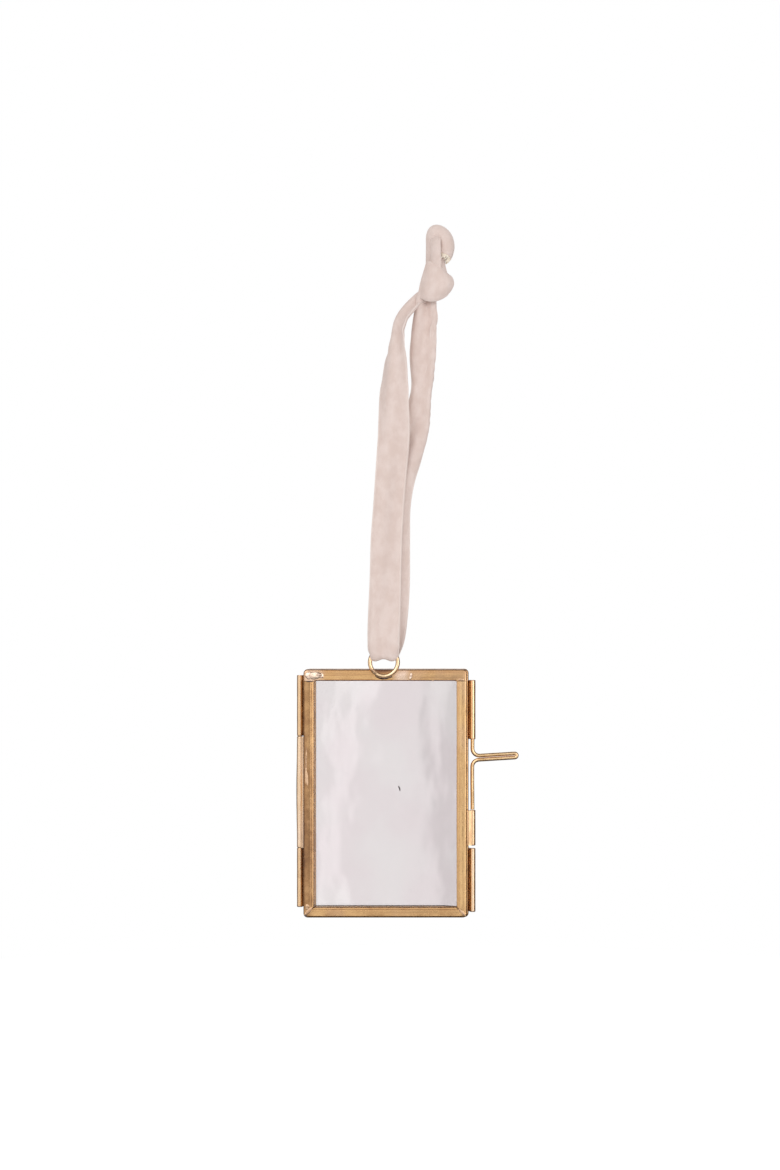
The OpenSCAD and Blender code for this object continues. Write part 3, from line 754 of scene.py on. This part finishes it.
loop_pitch = 1.24
loop_reach = 14
bend_r = 2.1
tilt = 3.5
leg_top, upper_bend_z, leg_foot = 68.7, 50.8, 32.4
leg_bow = 0.08
clasp_wire_d = 1.17
loop_tilt = math.radians(tilt)
lower_bend_z = upper_bend_z - (loop_pitch + 2 * bend_r) / math.cos(loop_tilt)
tip_r = loop_pitch / 2
root = bend_r * (1 + math.sin(loop_tilt))
upper_l = (loop_reach - tip_r - wire_r - root) / math.cos(loop_tilt)
out_way = np.array([math.cos(loop_tilt), math.sin(loop_tilt)])
up_way = np.array([-math.sin(loop_tilt), math.cos(loop_tilt)])
root_spot = np.array([clasp_x + root, upper_bend_z - bend_r * math.cos(loop_tilt)])
tip_spot = root_spot + upper_l * out_way - tip_r * up_way
pin_line = [(clasp_x, z) for z in np.linspace(leg_top, upper_bend_z + 0.4, 44)]
pin_line += arc_line(clasp_x + bend_r, upper_bend_z, bend_r, 180, 270 + tilt, 18)
pin_line += arc_line(*tip_spot, tip_r, 90 + tilt, -90 + tilt, 18)
pin_line += arc_line(clasp_x + bend_r, lower_bend_z, bend_r, 90 + tilt, 180, 18)
pin_line += [(clasp_x, z) for z in np.linspace(lower_bend_z, leg_foot, 30)[1:]]
pin_line = [(x - leg_bow * math.sin(math.pi * min(1, max(0, (z - 32) / 22))) ** 2,
             0.02 * steady((x, 0, z), 0.15, 6), z) for x, z in pin_line]
clasp_brass = brass_finish("clasp_wire_brass", (0.86, 0.59, 0.32), (0.42, 0.24, 0.10),
                           (0.88, 0.66, 0.44), 0.4, 0.45, 0.25, bump=0.006)
clasp_wire = wire_piece("clasp_pin_wire", pin_line, clasp_wire_d, clasp_brass, seed=2.0)
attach(clasp_wire, "clasp_pin")
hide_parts("clasp_pin")

# Hanging ring. A ring of brass wire, closed and soldered to the middle of the front cap, with the
# ribbon through it. The solder is a rough mound, nearly black under the ring, as tarnish and as
# painted shade of the ring.
wire_brass = brass_finish("brass_wire", (0.93, 0.68, 0.42), (0.5, 0.28, 0.12), (0.95, 0.74, 0.56),
                          0.3, 0.45, 0.35, bump=0.006)
ring_y, ring_z = -4.0, 77.15
ring_r = 4.15
ring_wire_d = 1.27
ring_line = [(ring_x + (ring_r + 0.05 * math.cos(2 * a)) * math.cos(a),
              ring_y + 0.03 * math.sin(3 * a), ring_z + ring_r * math.sin(a))
             for a in np.linspace(0, 2 * math.pi, 96, endpoint=False)]
ring = wire_piece("hanging_ring_wire", ring_line, ring_wire_d, wire_brass, True, 0.06, 4.0)
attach(ring, "front_half")
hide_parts("hanging_ring")


def solder_finish(name, bright, dull, spots):
    material, tree = empty_material(name)
    place = own_place(tree)
    lumps = noise_of(tree, place, 1400, 4, 0.6)
    patches = noise_of(tree, place, 520, 3, 0.6, shift=(0.2, 0, 0.1))
    dulled = times(tree, ranged(tree, patches, 0.42, 0.62), spots)
    relief = bumped(tree, lumps, 0.6, 0.00008)
    principled(tree, {"Base Color": colour_mix(tree, dulled, (*bright, 1), (*dull, 1)),
                      "Metallic": 1.0, "Roughness": ranged(tree, lumps, 0.3, 0.7, 0.28, 0.5),
                      "Normal": relief})
    return material


# Nearly black: tarnish, and painted shade where it lies under the ring and the cap.
dark_solder = solder_finish("tarnished_and_shaded_solder", (0.24, 0.18, 0.17), (0.10, 0.07, 0.07), 0.9)


def solder_drops(name, material, drops, stands_for=()):
    """Irregular low mounds on the face of the front half, from rows of sideways, height, length,
    width, turn and how far each stands over which face."""
    points, faces = [], []
    rings, spokes = 7, 26
    for number, (x, z, length, width, turn, tall, base) in enumerate(drops):
        along, aside = math.cos(math.radians(turn)), math.sin(math.radians(turn))
        mound = []
        for share in np.linspace(0, 1, rings + 1):
            ring = []
            for a in np.linspace(0, 2 * math.pi, spokes, endpoint=False):
                edge = 1 + 0.22 * steady((math.cos(a), math.sin(a), number), 1.3, 51)
                s = share * edge * 0.5 * length * math.cos(a)
                t = share * edge * 0.5 * width * math.sin(a)
                rise = tall * max(0, 1 - share ** 2) ** 0.7
                rise *= 1 + 0.45 * steady((s, t, number), 1.5, 53)
                ring.append((x + s * along + t * aside, base - rise - 0.01,
                             z - s * aside + t * along))
            mound.append(ring)
        mound.append([(sideways, base + 0.15, up) for sideways, _, up in mound[-1]])
        faces += loft(mound, first=len(points))
        points += [spot for ring in mound for spot in ring]
    made = solid_piece(name, points, faces, None, material, 70)
    face_outwards(made.data)
    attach(made, "front_half")
    if stands_for:
        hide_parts(*stands_for)


rim_face = -(parting + half_depth)
cap_face = rim_face - cap_proud
# The mound is nearly black as tarnish and as painted shade under the ring.
solder_drops("ring_solder_mound", dark_solder, [
    (ring_x + 0.1, 72.75, 4.9, 1.5, 0, 0.5, cap_face), (ring_x - 1.9, 73.1, 1.9, 1.2, 25, 0.42, cap_face),
    (ring_x + 1.9, 73.2, 1.7, 1.0, -28, 0.38, cap_face), (ring_x, 72.3, 2.4, 0.7, 0, 0.3, cap_face)],
    ["ring_solder"])

# Solder at the corners and on the cap. It was run into the joints after folding and stands a little
# proud. The lumps are paler than the brass, and the thin runs and small marks brown. The nearly
# black mark under the left end of the cap is a painted shadow of the cap; the two at the foot are
# dark marks at the mitres.
pale_solder = solder_finish("gilded_solder", (0.93, 0.74, 0.58), (0.58, 0.40, 0.32), 0.75)
brown_solder = solder_finish("browned_solder", (0.72, 0.48, 0.30), (0.34, 0.19, 0.11), 0.8)
mark_face = ring_y - 0.58
solder_drops("corner_solder_mounds", pale_solder, [
    (-21.3, 73.15, 4.6, 2.3, 4, 0.3, cap_face), (-20.1, 73.3, 2.4, 1.6, 0, 0.36, cap_face),
    (-23.0, 73.1, 2.4, 2.4, 30, 0.24, cap_face), (-19.3, 73.1, 1.5, 1.6, 0, 0.2, cap_face),
    (7.75, 73.1, 1.0, 1.9, 8, 0.3, cap_face), (7.5, 72.3, 0.6, 0.9, 0, 0.24, cap_face),
    (14.4, 71.6, 0.5, 0.45, 0, 0.24, cap_face)], ["corner_solder"])
solder_drops("mitre_solder_mounds", brown_solder, [
    (-23.2, 1.9, 3.2, 1.3, -45, 0.13, rim_face), (-23.5, 3.3, 1.4, 1.9, 0, 0.1, rim_face),
    (23.2, 1.6, 3.0, 1.1, 45, 0.12, rim_face), (22.9, 71.9, 2.0, 0.7, 0, 0.12, cap_face),
    (-23.9, 46.5, 0.55, 11.0, 1, 0.06, rim_face), (-23.6, 42.0, 0.7, 5.0, -2, 0.07, rim_face)])
solder_drops("ring_joint_mark", brown_solder, [
    (-3.8, 74.8, 2.3, 0.7, 40, 0.16, mark_face), (-3.0, 74.0, 1.2, 0.5, 34, 0.14, mark_face)])
# A painted shadow under the left end of the cap, and dark marks at the two bottom mitres.
solder_drops("tarnish_and_shadow_marks", dark_solder, [
    (-22.9, 71.35, 2.2, 0.42, 3, 0.16, cap_face), (-23.95, 0.75, 0.6, 0.5, 0, 0.1, rim_face),
    (23.6, 0.9, 0.7, 0.5, 0, 0.1, rim_face)])

# Lint. A short dark fibre, lying bent on the front pane where it was caught. It isn't fixed, but it
# goes with the pane.
lint_d = 0.34


def fibre_finish(name, scale, dark, pale, roughness):
    material, tree = empty_material(name)
    mixed = ranged(tree, noise_of(tree, own_place(tree), scale), 0.35, 0.65)
    principled(tree, {"Base Color": colour_mix(tree, mixed, dark, pale), "Roughness": roughness})
    return material


lint = fibre_finish("dark_lint", 2500, (0.05, 0.04, 0.04, 1), (0.1, 0.085, 0.08, 1), 0.8)
lint_line = [(4.0, -2.96, 39.7), (4.2, -2.98, 39.3), (4.4, -2.98, 38.9), (4.45, -2.96, 38.3)]
lint_fibre = wire_piece("lint_fibre", lint_line, lint_d, lint, False, 0.2, 8.0)
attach(lint_fibre, "front_half")

# Velvet ribbon. One length of ten millimetre velvet ribbon goes down through the ring and back up
# to an overhand knot. It hangs soft: gathered in the ring, rolled at its edges, and twisted under
# the knot. Both ends stand up folded in half, the long one bent over, the short one inside its bend.
ribbon_w = 10.0
ribbon_t = 0.8
selvedge_t = 0.34
across_steps = 20


def smooth_rows(table, steps):
    """A smooth curve through the rows of a table, and its last row."""
    table = np.array(table, float)
    rows = []
    for i in range(len(table) - 1):
        a, b = table[max(i - 1, 0)], table[i]
        c, d = table[i + 1], table[min(i + 2, len(table) - 1)]
        for k in range(steps):
            f = k / steps
            rows.append(0.5 * (2 * b + f * (c - a) + f * f * (2 * a - 5 * b + 4 * c - d)
                               + f ** 3 * (3 * (b - c) + d - a)))
    return np.array(rows + [table[-1]])


fine_steps = 60


def ribbon_section(twist, curl, gather, roll, start, phase, waves, seed):
    """Middle line of the ribbon's section as the cloth lies, with the same length whatever its
    folds, as (across, through) and the direction through the cloth. It rolls over from start on."""
    spread = math.sqrt(max(0, 8 * (1 - math.sqrt(min(1, gather)))))
    s = np.linspace(-0.5, 0.5, fine_steps + 1)
    angle = math.radians(twist) + math.radians(curl) * 2 * s
    angle = angle + spread * np.sin(2 * math.pi * waves * s + phase)
    angle = angle - math.radians(roll) * np.clip((s - start) / 0.12, 0, 1)
    angle = angle + np.array([0.09 * steady((v * 4, seed, 0), 1.0, 61) for v in s])
    step = np.stack([np.cos(angle), np.sin(angle)], 1) * ribbon_w / fine_steps
    run = np.cumsum(step, axis=0)
    run -= [(run[:, 0].min() + run[:, 0].max()) / 2, run[:, 1].mean()]
    keep = np.linspace(0, fine_steps, across_steps + 1).round().astype(int)
    return run[keep], np.stack([-np.sin(angle), np.cos(angle)], 1)[keep]


def ribbon_rings(rows, carried):
    """Rings round the ribbon along rows of x, y, z, twist, curl, gather, roll, start, phase and
    waves. The loop is laid from left to right as seen from the front; a tail carries its way on."""
    places = rows[:, :3]
    along = np.gradient(places, axis=0)
    along /= np.linalg.norm(along, axis=1)[:, None]
    lengths = round_lengths(places)
    edge = np.minimum(np.arange(across_steps + 1), np.arange(across_steps, -1, -1))
    thick = np.where(edge == 0, selvedge_t, np.where(edge == 1, 0.62 * ribbon_t, ribbon_t)) / 2
    cross = np.linspace(0, ribbon_w, across_steps + 1)
    rings, uv = [], []
    flat = np.array([1.0, 0, 0])
    for i, (row, way) in enumerate(zip(rows, along)):
        start = flat if carried else np.array([1.0, 0, 0])
        flat = start - (start @ way) * way
        flat /= np.linalg.norm(flat)
        side = np.cross(way, flat)
        twist = row[3] if carried or way[2] > 0 else -row[3]
        line, through = ribbon_section(twist, *row[4:], seed=i * 0.03)
        crush = 1 + 0.1 * np.array([steady((lengths[i], v, 0), 0.35, 63) for v in line[:, 0]])
        middle = places[i] + line[:, :1] * flat + line[:, 1:] * side
        normal = through[:, :1] * flat + through[:, 1:] * side
        offset = normal * (thick * crush)[:, None]
        rings.append(np.concatenate([middle + offset, (middle - offset)[::-1]]))
        uv += [(lengths[i], c) for c in (*cross, *cross[::-1])]
    return rings, uv


def placed_rows(table, foot, steps):
    """Rows of a strand, from a table of up, across and depth over its foot, twist, curl, gather,
    roll and start."""
    rows = smooth_rows(table, steps)
    up = rows[:, 0:1]
    return np.concatenate([rows[:, 1:2] + foot[0], rows[:, 2:3] + foot[1], up + foot[2],
                           rows[:, 3:], 3.2 - 0.03 * up, np.full(up.shape, 1.5)], axis=1)


turn_r = 1.2
turn_up = 2.3
roll_start = 0.34
turn_table = [[turn_up - turn_r * math.sin(a), 0.15, turn_r * math.cos(a), 0, 42, 0.9, 30, roll_start]
              for a in np.linspace(0, math.pi, 9)]
front_table = [
    [3.1, 0.1, -1.25, 0, 34, 0.9, 30], [4.2, 0, -1.3, 0, 22, 0.94, 40],
    [6, -0.1, -1.4, 0, 12, 0.96, 70], [9, -0.1, -1.4, 3, 14, 0.97, 75],
    [16.5, 0.15, -1.4, 14, 18, 0.985, 75], [24.8, 0.45, -1.5, 20, 20, 0.985, 75],
    [37, 0.75, -1.5, 20, 22, 0.985, 75], [47, 1.4, -1.5, 22, 20, 0.985, 75],
    [57, 2.1, -1.6, 17, 18, 0.985, 70], [67, 2.9, -1.9, 4, 20, 0.985, 50],
    [73, 3.05, -2, -6, 24, 0.98, 30], [79, 3.05, -2, -16, 30, 0.97, 10],
    [82.2, 3.2, -2, -22, 32, 0.97, 0], [85.2, 3.35, -1.9, -32, 34, 0.96, 0],
    [88.3, 3.5, -1.8, -37, 35, 0.95, 0], [91.3, 3.65, -1.7, -43, 36, 0.93, 0],
    [94.3, 3.9, -1.5, -54, 34, 0.88, 0], [97.3, 4.15, -1.3, -64, 32, 0.82, 0],
    [99.8, 4.3, -1.1, -75, 30, 0.76, 0], [102, 4.9, -0.9, -71, 32, 0.77, 0],
    [104, 5.95, -0.2, -66, 34, 0.77, 0], [106.4, 7.75, 0.7, -63, 34, 0.73, 0],
    [109.2, 10.4, 1.9, -60, 30, 0.58, 0], [111.2, 12.6, 2.1, -56, 26, 0.44, 0],
    [112.6, 14.4, 1.4, -48, 20, 0.34, 0]]
rear_table = [
    [3.1, 0.35, 1.25, 0, -8, 0.8, 0, 0.34], [4.2, 0.8, 1.3, 0, -12, 0.86, 0, 0.34],
    [8.2, 2, 1.35, -2, -16, 0.9, 0, 0.34], [16.5, 2.75, 1.4, -6, -20, 0.95, 0, 0.34],
    [24.8, 3.15, 1.5, -8, -22, 0.96, 0, 0.34], [37, 3.2, 1.6, -8, -22, 0.96, 0, 0.34],
    [47, 3.35, 1.6, -6, -24, 0.96, 0, 0.34], [55, 4.65, 1.5, -8, -26, 0.96, 0, 0.34],
    [61.6, 6.6, 1.2, -4, -16, 0.96, 60, 0.4], [68.2, 8.6, 0.8, -4, -12, 0.96, 110, 0.34],
    [73, 9.9, 0.4, -4, -8, 0.96, 150, 0.24], [79.2, 10.8, 0, -4, -6, 0.96, 165, 0.1],
    [82.2, 11.2, -0.1, -3, -5, 0.95, 165, 0.06], [85.2, 11.5, -0.1, -3, -5, 0.95, 165, 0.12],
    [88.3, 11.5, -0.1, -3, -6, 0.95, 165, 0.18], [91.3, 11.55, -0.1, -2, -8, 0.95, 165, 0.24],
    [94.3, 11.7, -0.1, -2, -10, 0.94, 165, 0.27], [97.3, 11.85, -0.1, -2, -12, 0.92, 165, 0.25],
    [100.4, 12, 0, -2, -16, 0.89, 165, 0.25], [103.4, 12.4, 0.1, -2, -20, 0.84, 165, 0.3],
    [106.5, 12.6, 0.2, -4, -26, 0.74, 150, 0.34], [109.5, 12.8, 0.3, 0, -22, 0.62, 120, 0.36],
    [112.2, 13.8, 0.3, 0, -10, 0.5, 60, 0.38]]
ring_foot = (ring_x, ring_y, ring_z)
loop_rows = np.concatenate([placed_rows(rear_table[::-1], ring_foot, 6),
                            placed_rows(turn_table, ring_foot, 1),
                            placed_rows([[*row, roll_start] for row in front_table], ring_foot, 6)])

velvet, tree = empty_material("blush_velvet")
place = own_place(tree)
cloth_map = add(tree, "ShaderNodeUVMap", uv_map="along").outputs[0]
nap = noise_of(tree, place, 330, 4, 0.6, (1, 1, 0.7))
crushed = noise_of(tree, cloth_map, 0.22, 3, 0.5, (1, 0.5, 1), (4, 2, 0))
pile = noise_of(tree, place, 5200, 2, 0.6)
along, over, _ = add(tree, "ShaderNodeSeparateXYZ", {0: cloth_map}).outputs
from_middle = math_of(tree, "ABSOLUTE", minus(tree, over, ribbon_w / 2))
# The selvedge band is painted lighter, as the woven edge's own tone and as a painted highlight where the
# rolled edge catches the light; its ribs are bumps only.
woven_edge_and_sheen = ranged(tree, from_middle, 4.5, 4.62)
ribs = times(tree, woven_edge_and_sheen, math_of(tree, "SINE", times(tree, along, 14.0)))
base = (0.725, 0.585, 0.53, 1)
for amount, colour in (
    (ranged(tree, nap, 0.32, 0.68), (0.795, 0.665, 0.615, 1)),
    (times(tree, ranged(tree, crushed, 0.52, 0.7), 0.35), (0.70, 0.555, 0.50, 1)),
    (ranged(tree, pile, 0.3, 0.7, 0.0, 0.12), (0.62, 0.47, 0.42, 1)),
    (times(tree, woven_edge_and_sheen, 0.6), (0.86, 0.745, 0.69, 1)),
):
    base = colour_mix(tree, amount, base, colour)
height = plus(tree, times(tree, pile, 0.6), plus(tree, times(tree, nap, 0.9), times(tree, ribs, 0.25)))
relief = bumped(tree, height, 0.55, 0.00025)
principled(tree, {
    "Base Color": base, "Roughness": 0.9, "Specular IOR Level": 0.15, "Sheen Weight": 0.35,
    "Sheen Roughness": 0.45, "Sheen Tint": (1.0, 0.95, 0.93, 1), "Normal": relief})

# The knot is one broad turn over a gathered core, which reaches up into the bend of the long end.
# Its rows are up, across, half width and half depth in millimetres from the knot's foot, and its
# lean in degrees.
knot = np.array([15.0, -4.0, 186.05])
core_table = [[0.9, -1.0, 1.2, 1.2, -6], [2.2, -0.9, 2.9, 2.2, -4], [4, -0.1, 3.7, 2.7, -6],
              [6, 0.6, 3.9, 2.8, -12], [8, 0.8, 3.2, 2.6, -18], [10, 0.9, 2.5, 2.0, -18],
              [11.4, 1.3, 1.7, 1.4, -12], [13, 1.8, 1.1, 1.0, -6], [15.5, 2.0, 0.9, 0.9, 0],
              [17.4, 1.8, 0.8, 0.8, 0], [18.6, 1.2, 0.5, 0.5, 0]]
core_spokes = 40
core_rings, core_uv = [], []
for up, across, wide, deep, lean in smooth_rows(core_table, 4):
    ring = []
    for j in range(core_spokes):
        a = 2 * math.pi * j / core_spokes
        pleat = 1 + 0.07 * math.sin(7 * a + 0.25 * up)
        x = wide * pleat * math.cos(a)
        ring.append(knot + [across + x, deep * pleat * math.sin(a),
                            up + x * math.tan(math.radians(lean))])
        core_uv.append((up, 1 + 8 * j / core_spokes))
    core_rings.append(ring)

wrap_rings, wrap_uv = [], []
wrap_steps = 96
for i in range(wrap_steps):
    a = 2 * math.pi * i / wrap_steps
    outward = np.array([math.cos(a), math.sin(a), 0])
    upper = np.array([1.15 + 3.45 * outward[0], 2.5 * outward[1],
                      9.7 - 2.2 * outward[0] - 0.5 * outward[1]])
    lower = np.array([4.1 * outward[0] - 0.8, 2.3 * outward[1],
                      1.3 + 0.1 * outward[0] + 0.3 * math.cos(2 * a) + 1.5 * outward[1]])
    swell = 0.2 + 1.1 * (0.5 + 0.5 * outward[0]) ** 1.5 + outward[1] ** 2
    tuck = 0.24 * math.exp(-((a - 3.58) / 0.09) ** 2)
    lip = 0.22 * max(0, math.sin((a - 4.7) * 2.1)) if 4.7 < a < 6.2 else 0
    ring = []
    cross = np.linspace(-1, 1, across_steps + 1)
    for face in (1, -1):
        for s in cross if face > 0 else cross[::-1]:
            out = swell * (1 - s * s) - tuck - lip * math.exp(-((s + 0.7) / 0.14) ** 2)
            out += 0.16 * math.sin(5 * a + 2.5 * s) * abs(s) ** 1.5 - 0.2 * s ** 4
            out += 0.16 * steady((3 * outward[0], 3 * outward[1], 2 * s), 0.8, 71)
            out += face * (selvedge_t if abs(s) > 0.999 else ribbon_t) / 2
            ring.append(knot + lower + (upper - lower) * (s + 1) / 2 + out * outward)
            wrap_uv.append((40 + 25 * i / wrap_steps, 5 + 4.9 * s))
    wrap_rings.append(np.array(ring))

long_tail = [
    [8, -0.9, 1.9, -50, 6, 0.9], [12, -0.95, 2.3, -50, 8, 0.94], [15, -0.98, 2.2, -50, 8, 0.95],
    [17.4, -1.0, 1.8, -50, 8, 0.95], [19.7, -1.0, 1.3, -52, 8, 0.95],
    [21.1, -0.4, 0.9, -53, 8, 0.95], [21.25, 0.7, 0.6, -54, 8, 0.95],
    [20.75, 1.85, 0.4, -56, 8, 0.95], [19.9, 2.8, 0.3, -60, 8, 0.95], [18.6, 3.5, 0.2, -62, 8, 0.95],
    [16.8, 3.85, 0, -63, 8, 0.94], [15, 3.65, -0.3, -63, 8, 0.92], [13.5, 3.1, -0.7, -64, 8, 0.9]]
short_tail = [
    [8.5, 0.2, -0.5, -65, 4, 0.8], [11.5, 0.32, -0.9, -65, 6, 0.9], [14.5, 0.28, -1.0, -65, 8, 0.92],
    [16.3, 0.25, -0.8, -64, 8, 0.92], [17.5, 0.2, -0.1, -62, 8, 0.9], [18.1, 0.2, 1.0, -60, 8, 0.9]]
half_fold = [-180, -0.07]
(long_rings, long_uv), (short_rings, short_uv) = (
    ribbon_rings(placed_rows([row + half_fold for row in tail], knot, 7), True)
    for tail in (long_tail, short_tail))

parts, faces, uv = [], [], []
for rings, ring_uv, closed in (
    (*ribbon_rings(loop_rows, False), False), (core_rings, core_uv, False),
    (wrap_rings, wrap_uv, True), (long_rings, long_uv, False), (short_rings, short_uv, False),
):
    faces += loft(rings, closed, len(parts))
    parts += [tuple(p) for ring in rings for p in ring]
    uv += ring_uv
ribbon = solid_piece("velvet_ribbon", parts, faces, uv, velvet, 75)
face_outwards(ribbon.data)
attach(ribbon, "front_half")
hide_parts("ribbon")

# Frayed end. The ribbon was cut square, and the cream ends of its threads stand out of the long
# tail's cut, each bent a little its own way.
threads = fibre_finish("cream_threads", 1800, (0.93, 0.83, 0.70, 1), (0.98, 0.92, 0.81, 1), 0.85)


def frayed_end_tree():
    """Geometry Nodes that set short bent threads along a cut, each turned a little its own way."""
    tree, given, out = group_of(
        "frayed_end",
        [("Line", "Geometry", None), ("Threads", "Int", 80), ("Thread length", "Float", 0.0015),
         ("Thread width", "Float", 0.0002), ("Turn", "Vector", None), ("Spread", "Float", 0.22),
         ("Seed", "Int", 3), ("Thread", "Material", None)],
        [("Fray", "Geometry")], "GeometryNodeTree")
    spots = add(tree, "GeometryNodeResampleCurve", {"Curve": given["Line"],
                                                    "Count": given["Threads"]}, mode="COUNT")
    bend = add(tree, "GeometryNodeCurveQuadraticBezier", {
        "Resolution": 4, "Start": (0, 0, -0.3), "Middle": (0.02, 0, 0.5), "End": (0.22, 0.05, 1.0)})
    size = add(tree, "ShaderNodeCombineXYZ", {n: given["Thread length"] for n in range(3)})
    bent_line = add(tree, "GeometryNodeTransform", {"Geometry": bend.outputs[0],
                                                    "Scale": size.outputs[0]})
    profile = add(tree, "GeometryNodeCurvePrimitiveCircle", {
        "Resolution": 4, "Radius": times(tree, given["Thread width"], 0.5)})
    thread = add(tree, "GeometryNodeCurveToMesh", {
        "Curve": bent_line.outputs[0], "Profile Curve": profile.outputs[0], "Fill Caps": True})
    stray = add(tree, "FunctionNodeRandomValue", {
        "Min": (-1, -1, -3), "Max": (1, 1, 3), "Seed": given["Seed"]}, data_type="FLOAT_VECTOR")
    spread = add(tree, "ShaderNodeVectorMath", {0: stray.outputs[0], "Scale": given["Spread"]},
                 operation="SCALE")
    turned = add(tree, "ShaderNodeVectorMath", {0: given["Turn"], 1: spread.outputs[0]},
                 operation="ADD")
    share = add(tree, "FunctionNodeRandomValue", {2: 0.5, 3: 1.2, "Seed": given["Seed"]},
                data_type="FLOAT")
    stuck = add(tree, "GeometryNodeInstanceOnPoints", {
        "Points": spots.outputs[0], "Instance": thread.outputs[0], "Rotation": turned.outputs[0],
        "Scale": share.outputs[1]})
    ended_in(tree, out, "Fray", stuck.outputs[0], given["Thread"])
    return tree


cut = (long_rings[-1][:across_steps + 1] + long_rings[-1][:across_steps:-1]) / 2
end_way = Vector(cut.mean(axis=0) - np.mean(long_rings[-3], axis=0))
fray = grown_piece("frayed_ribbon_end", cut, frayed_end_tree(), {
    "Turn": end_way.to_track_quat("Z", "X").to_euler(), "Thread": threads})
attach(fray, "front_half")
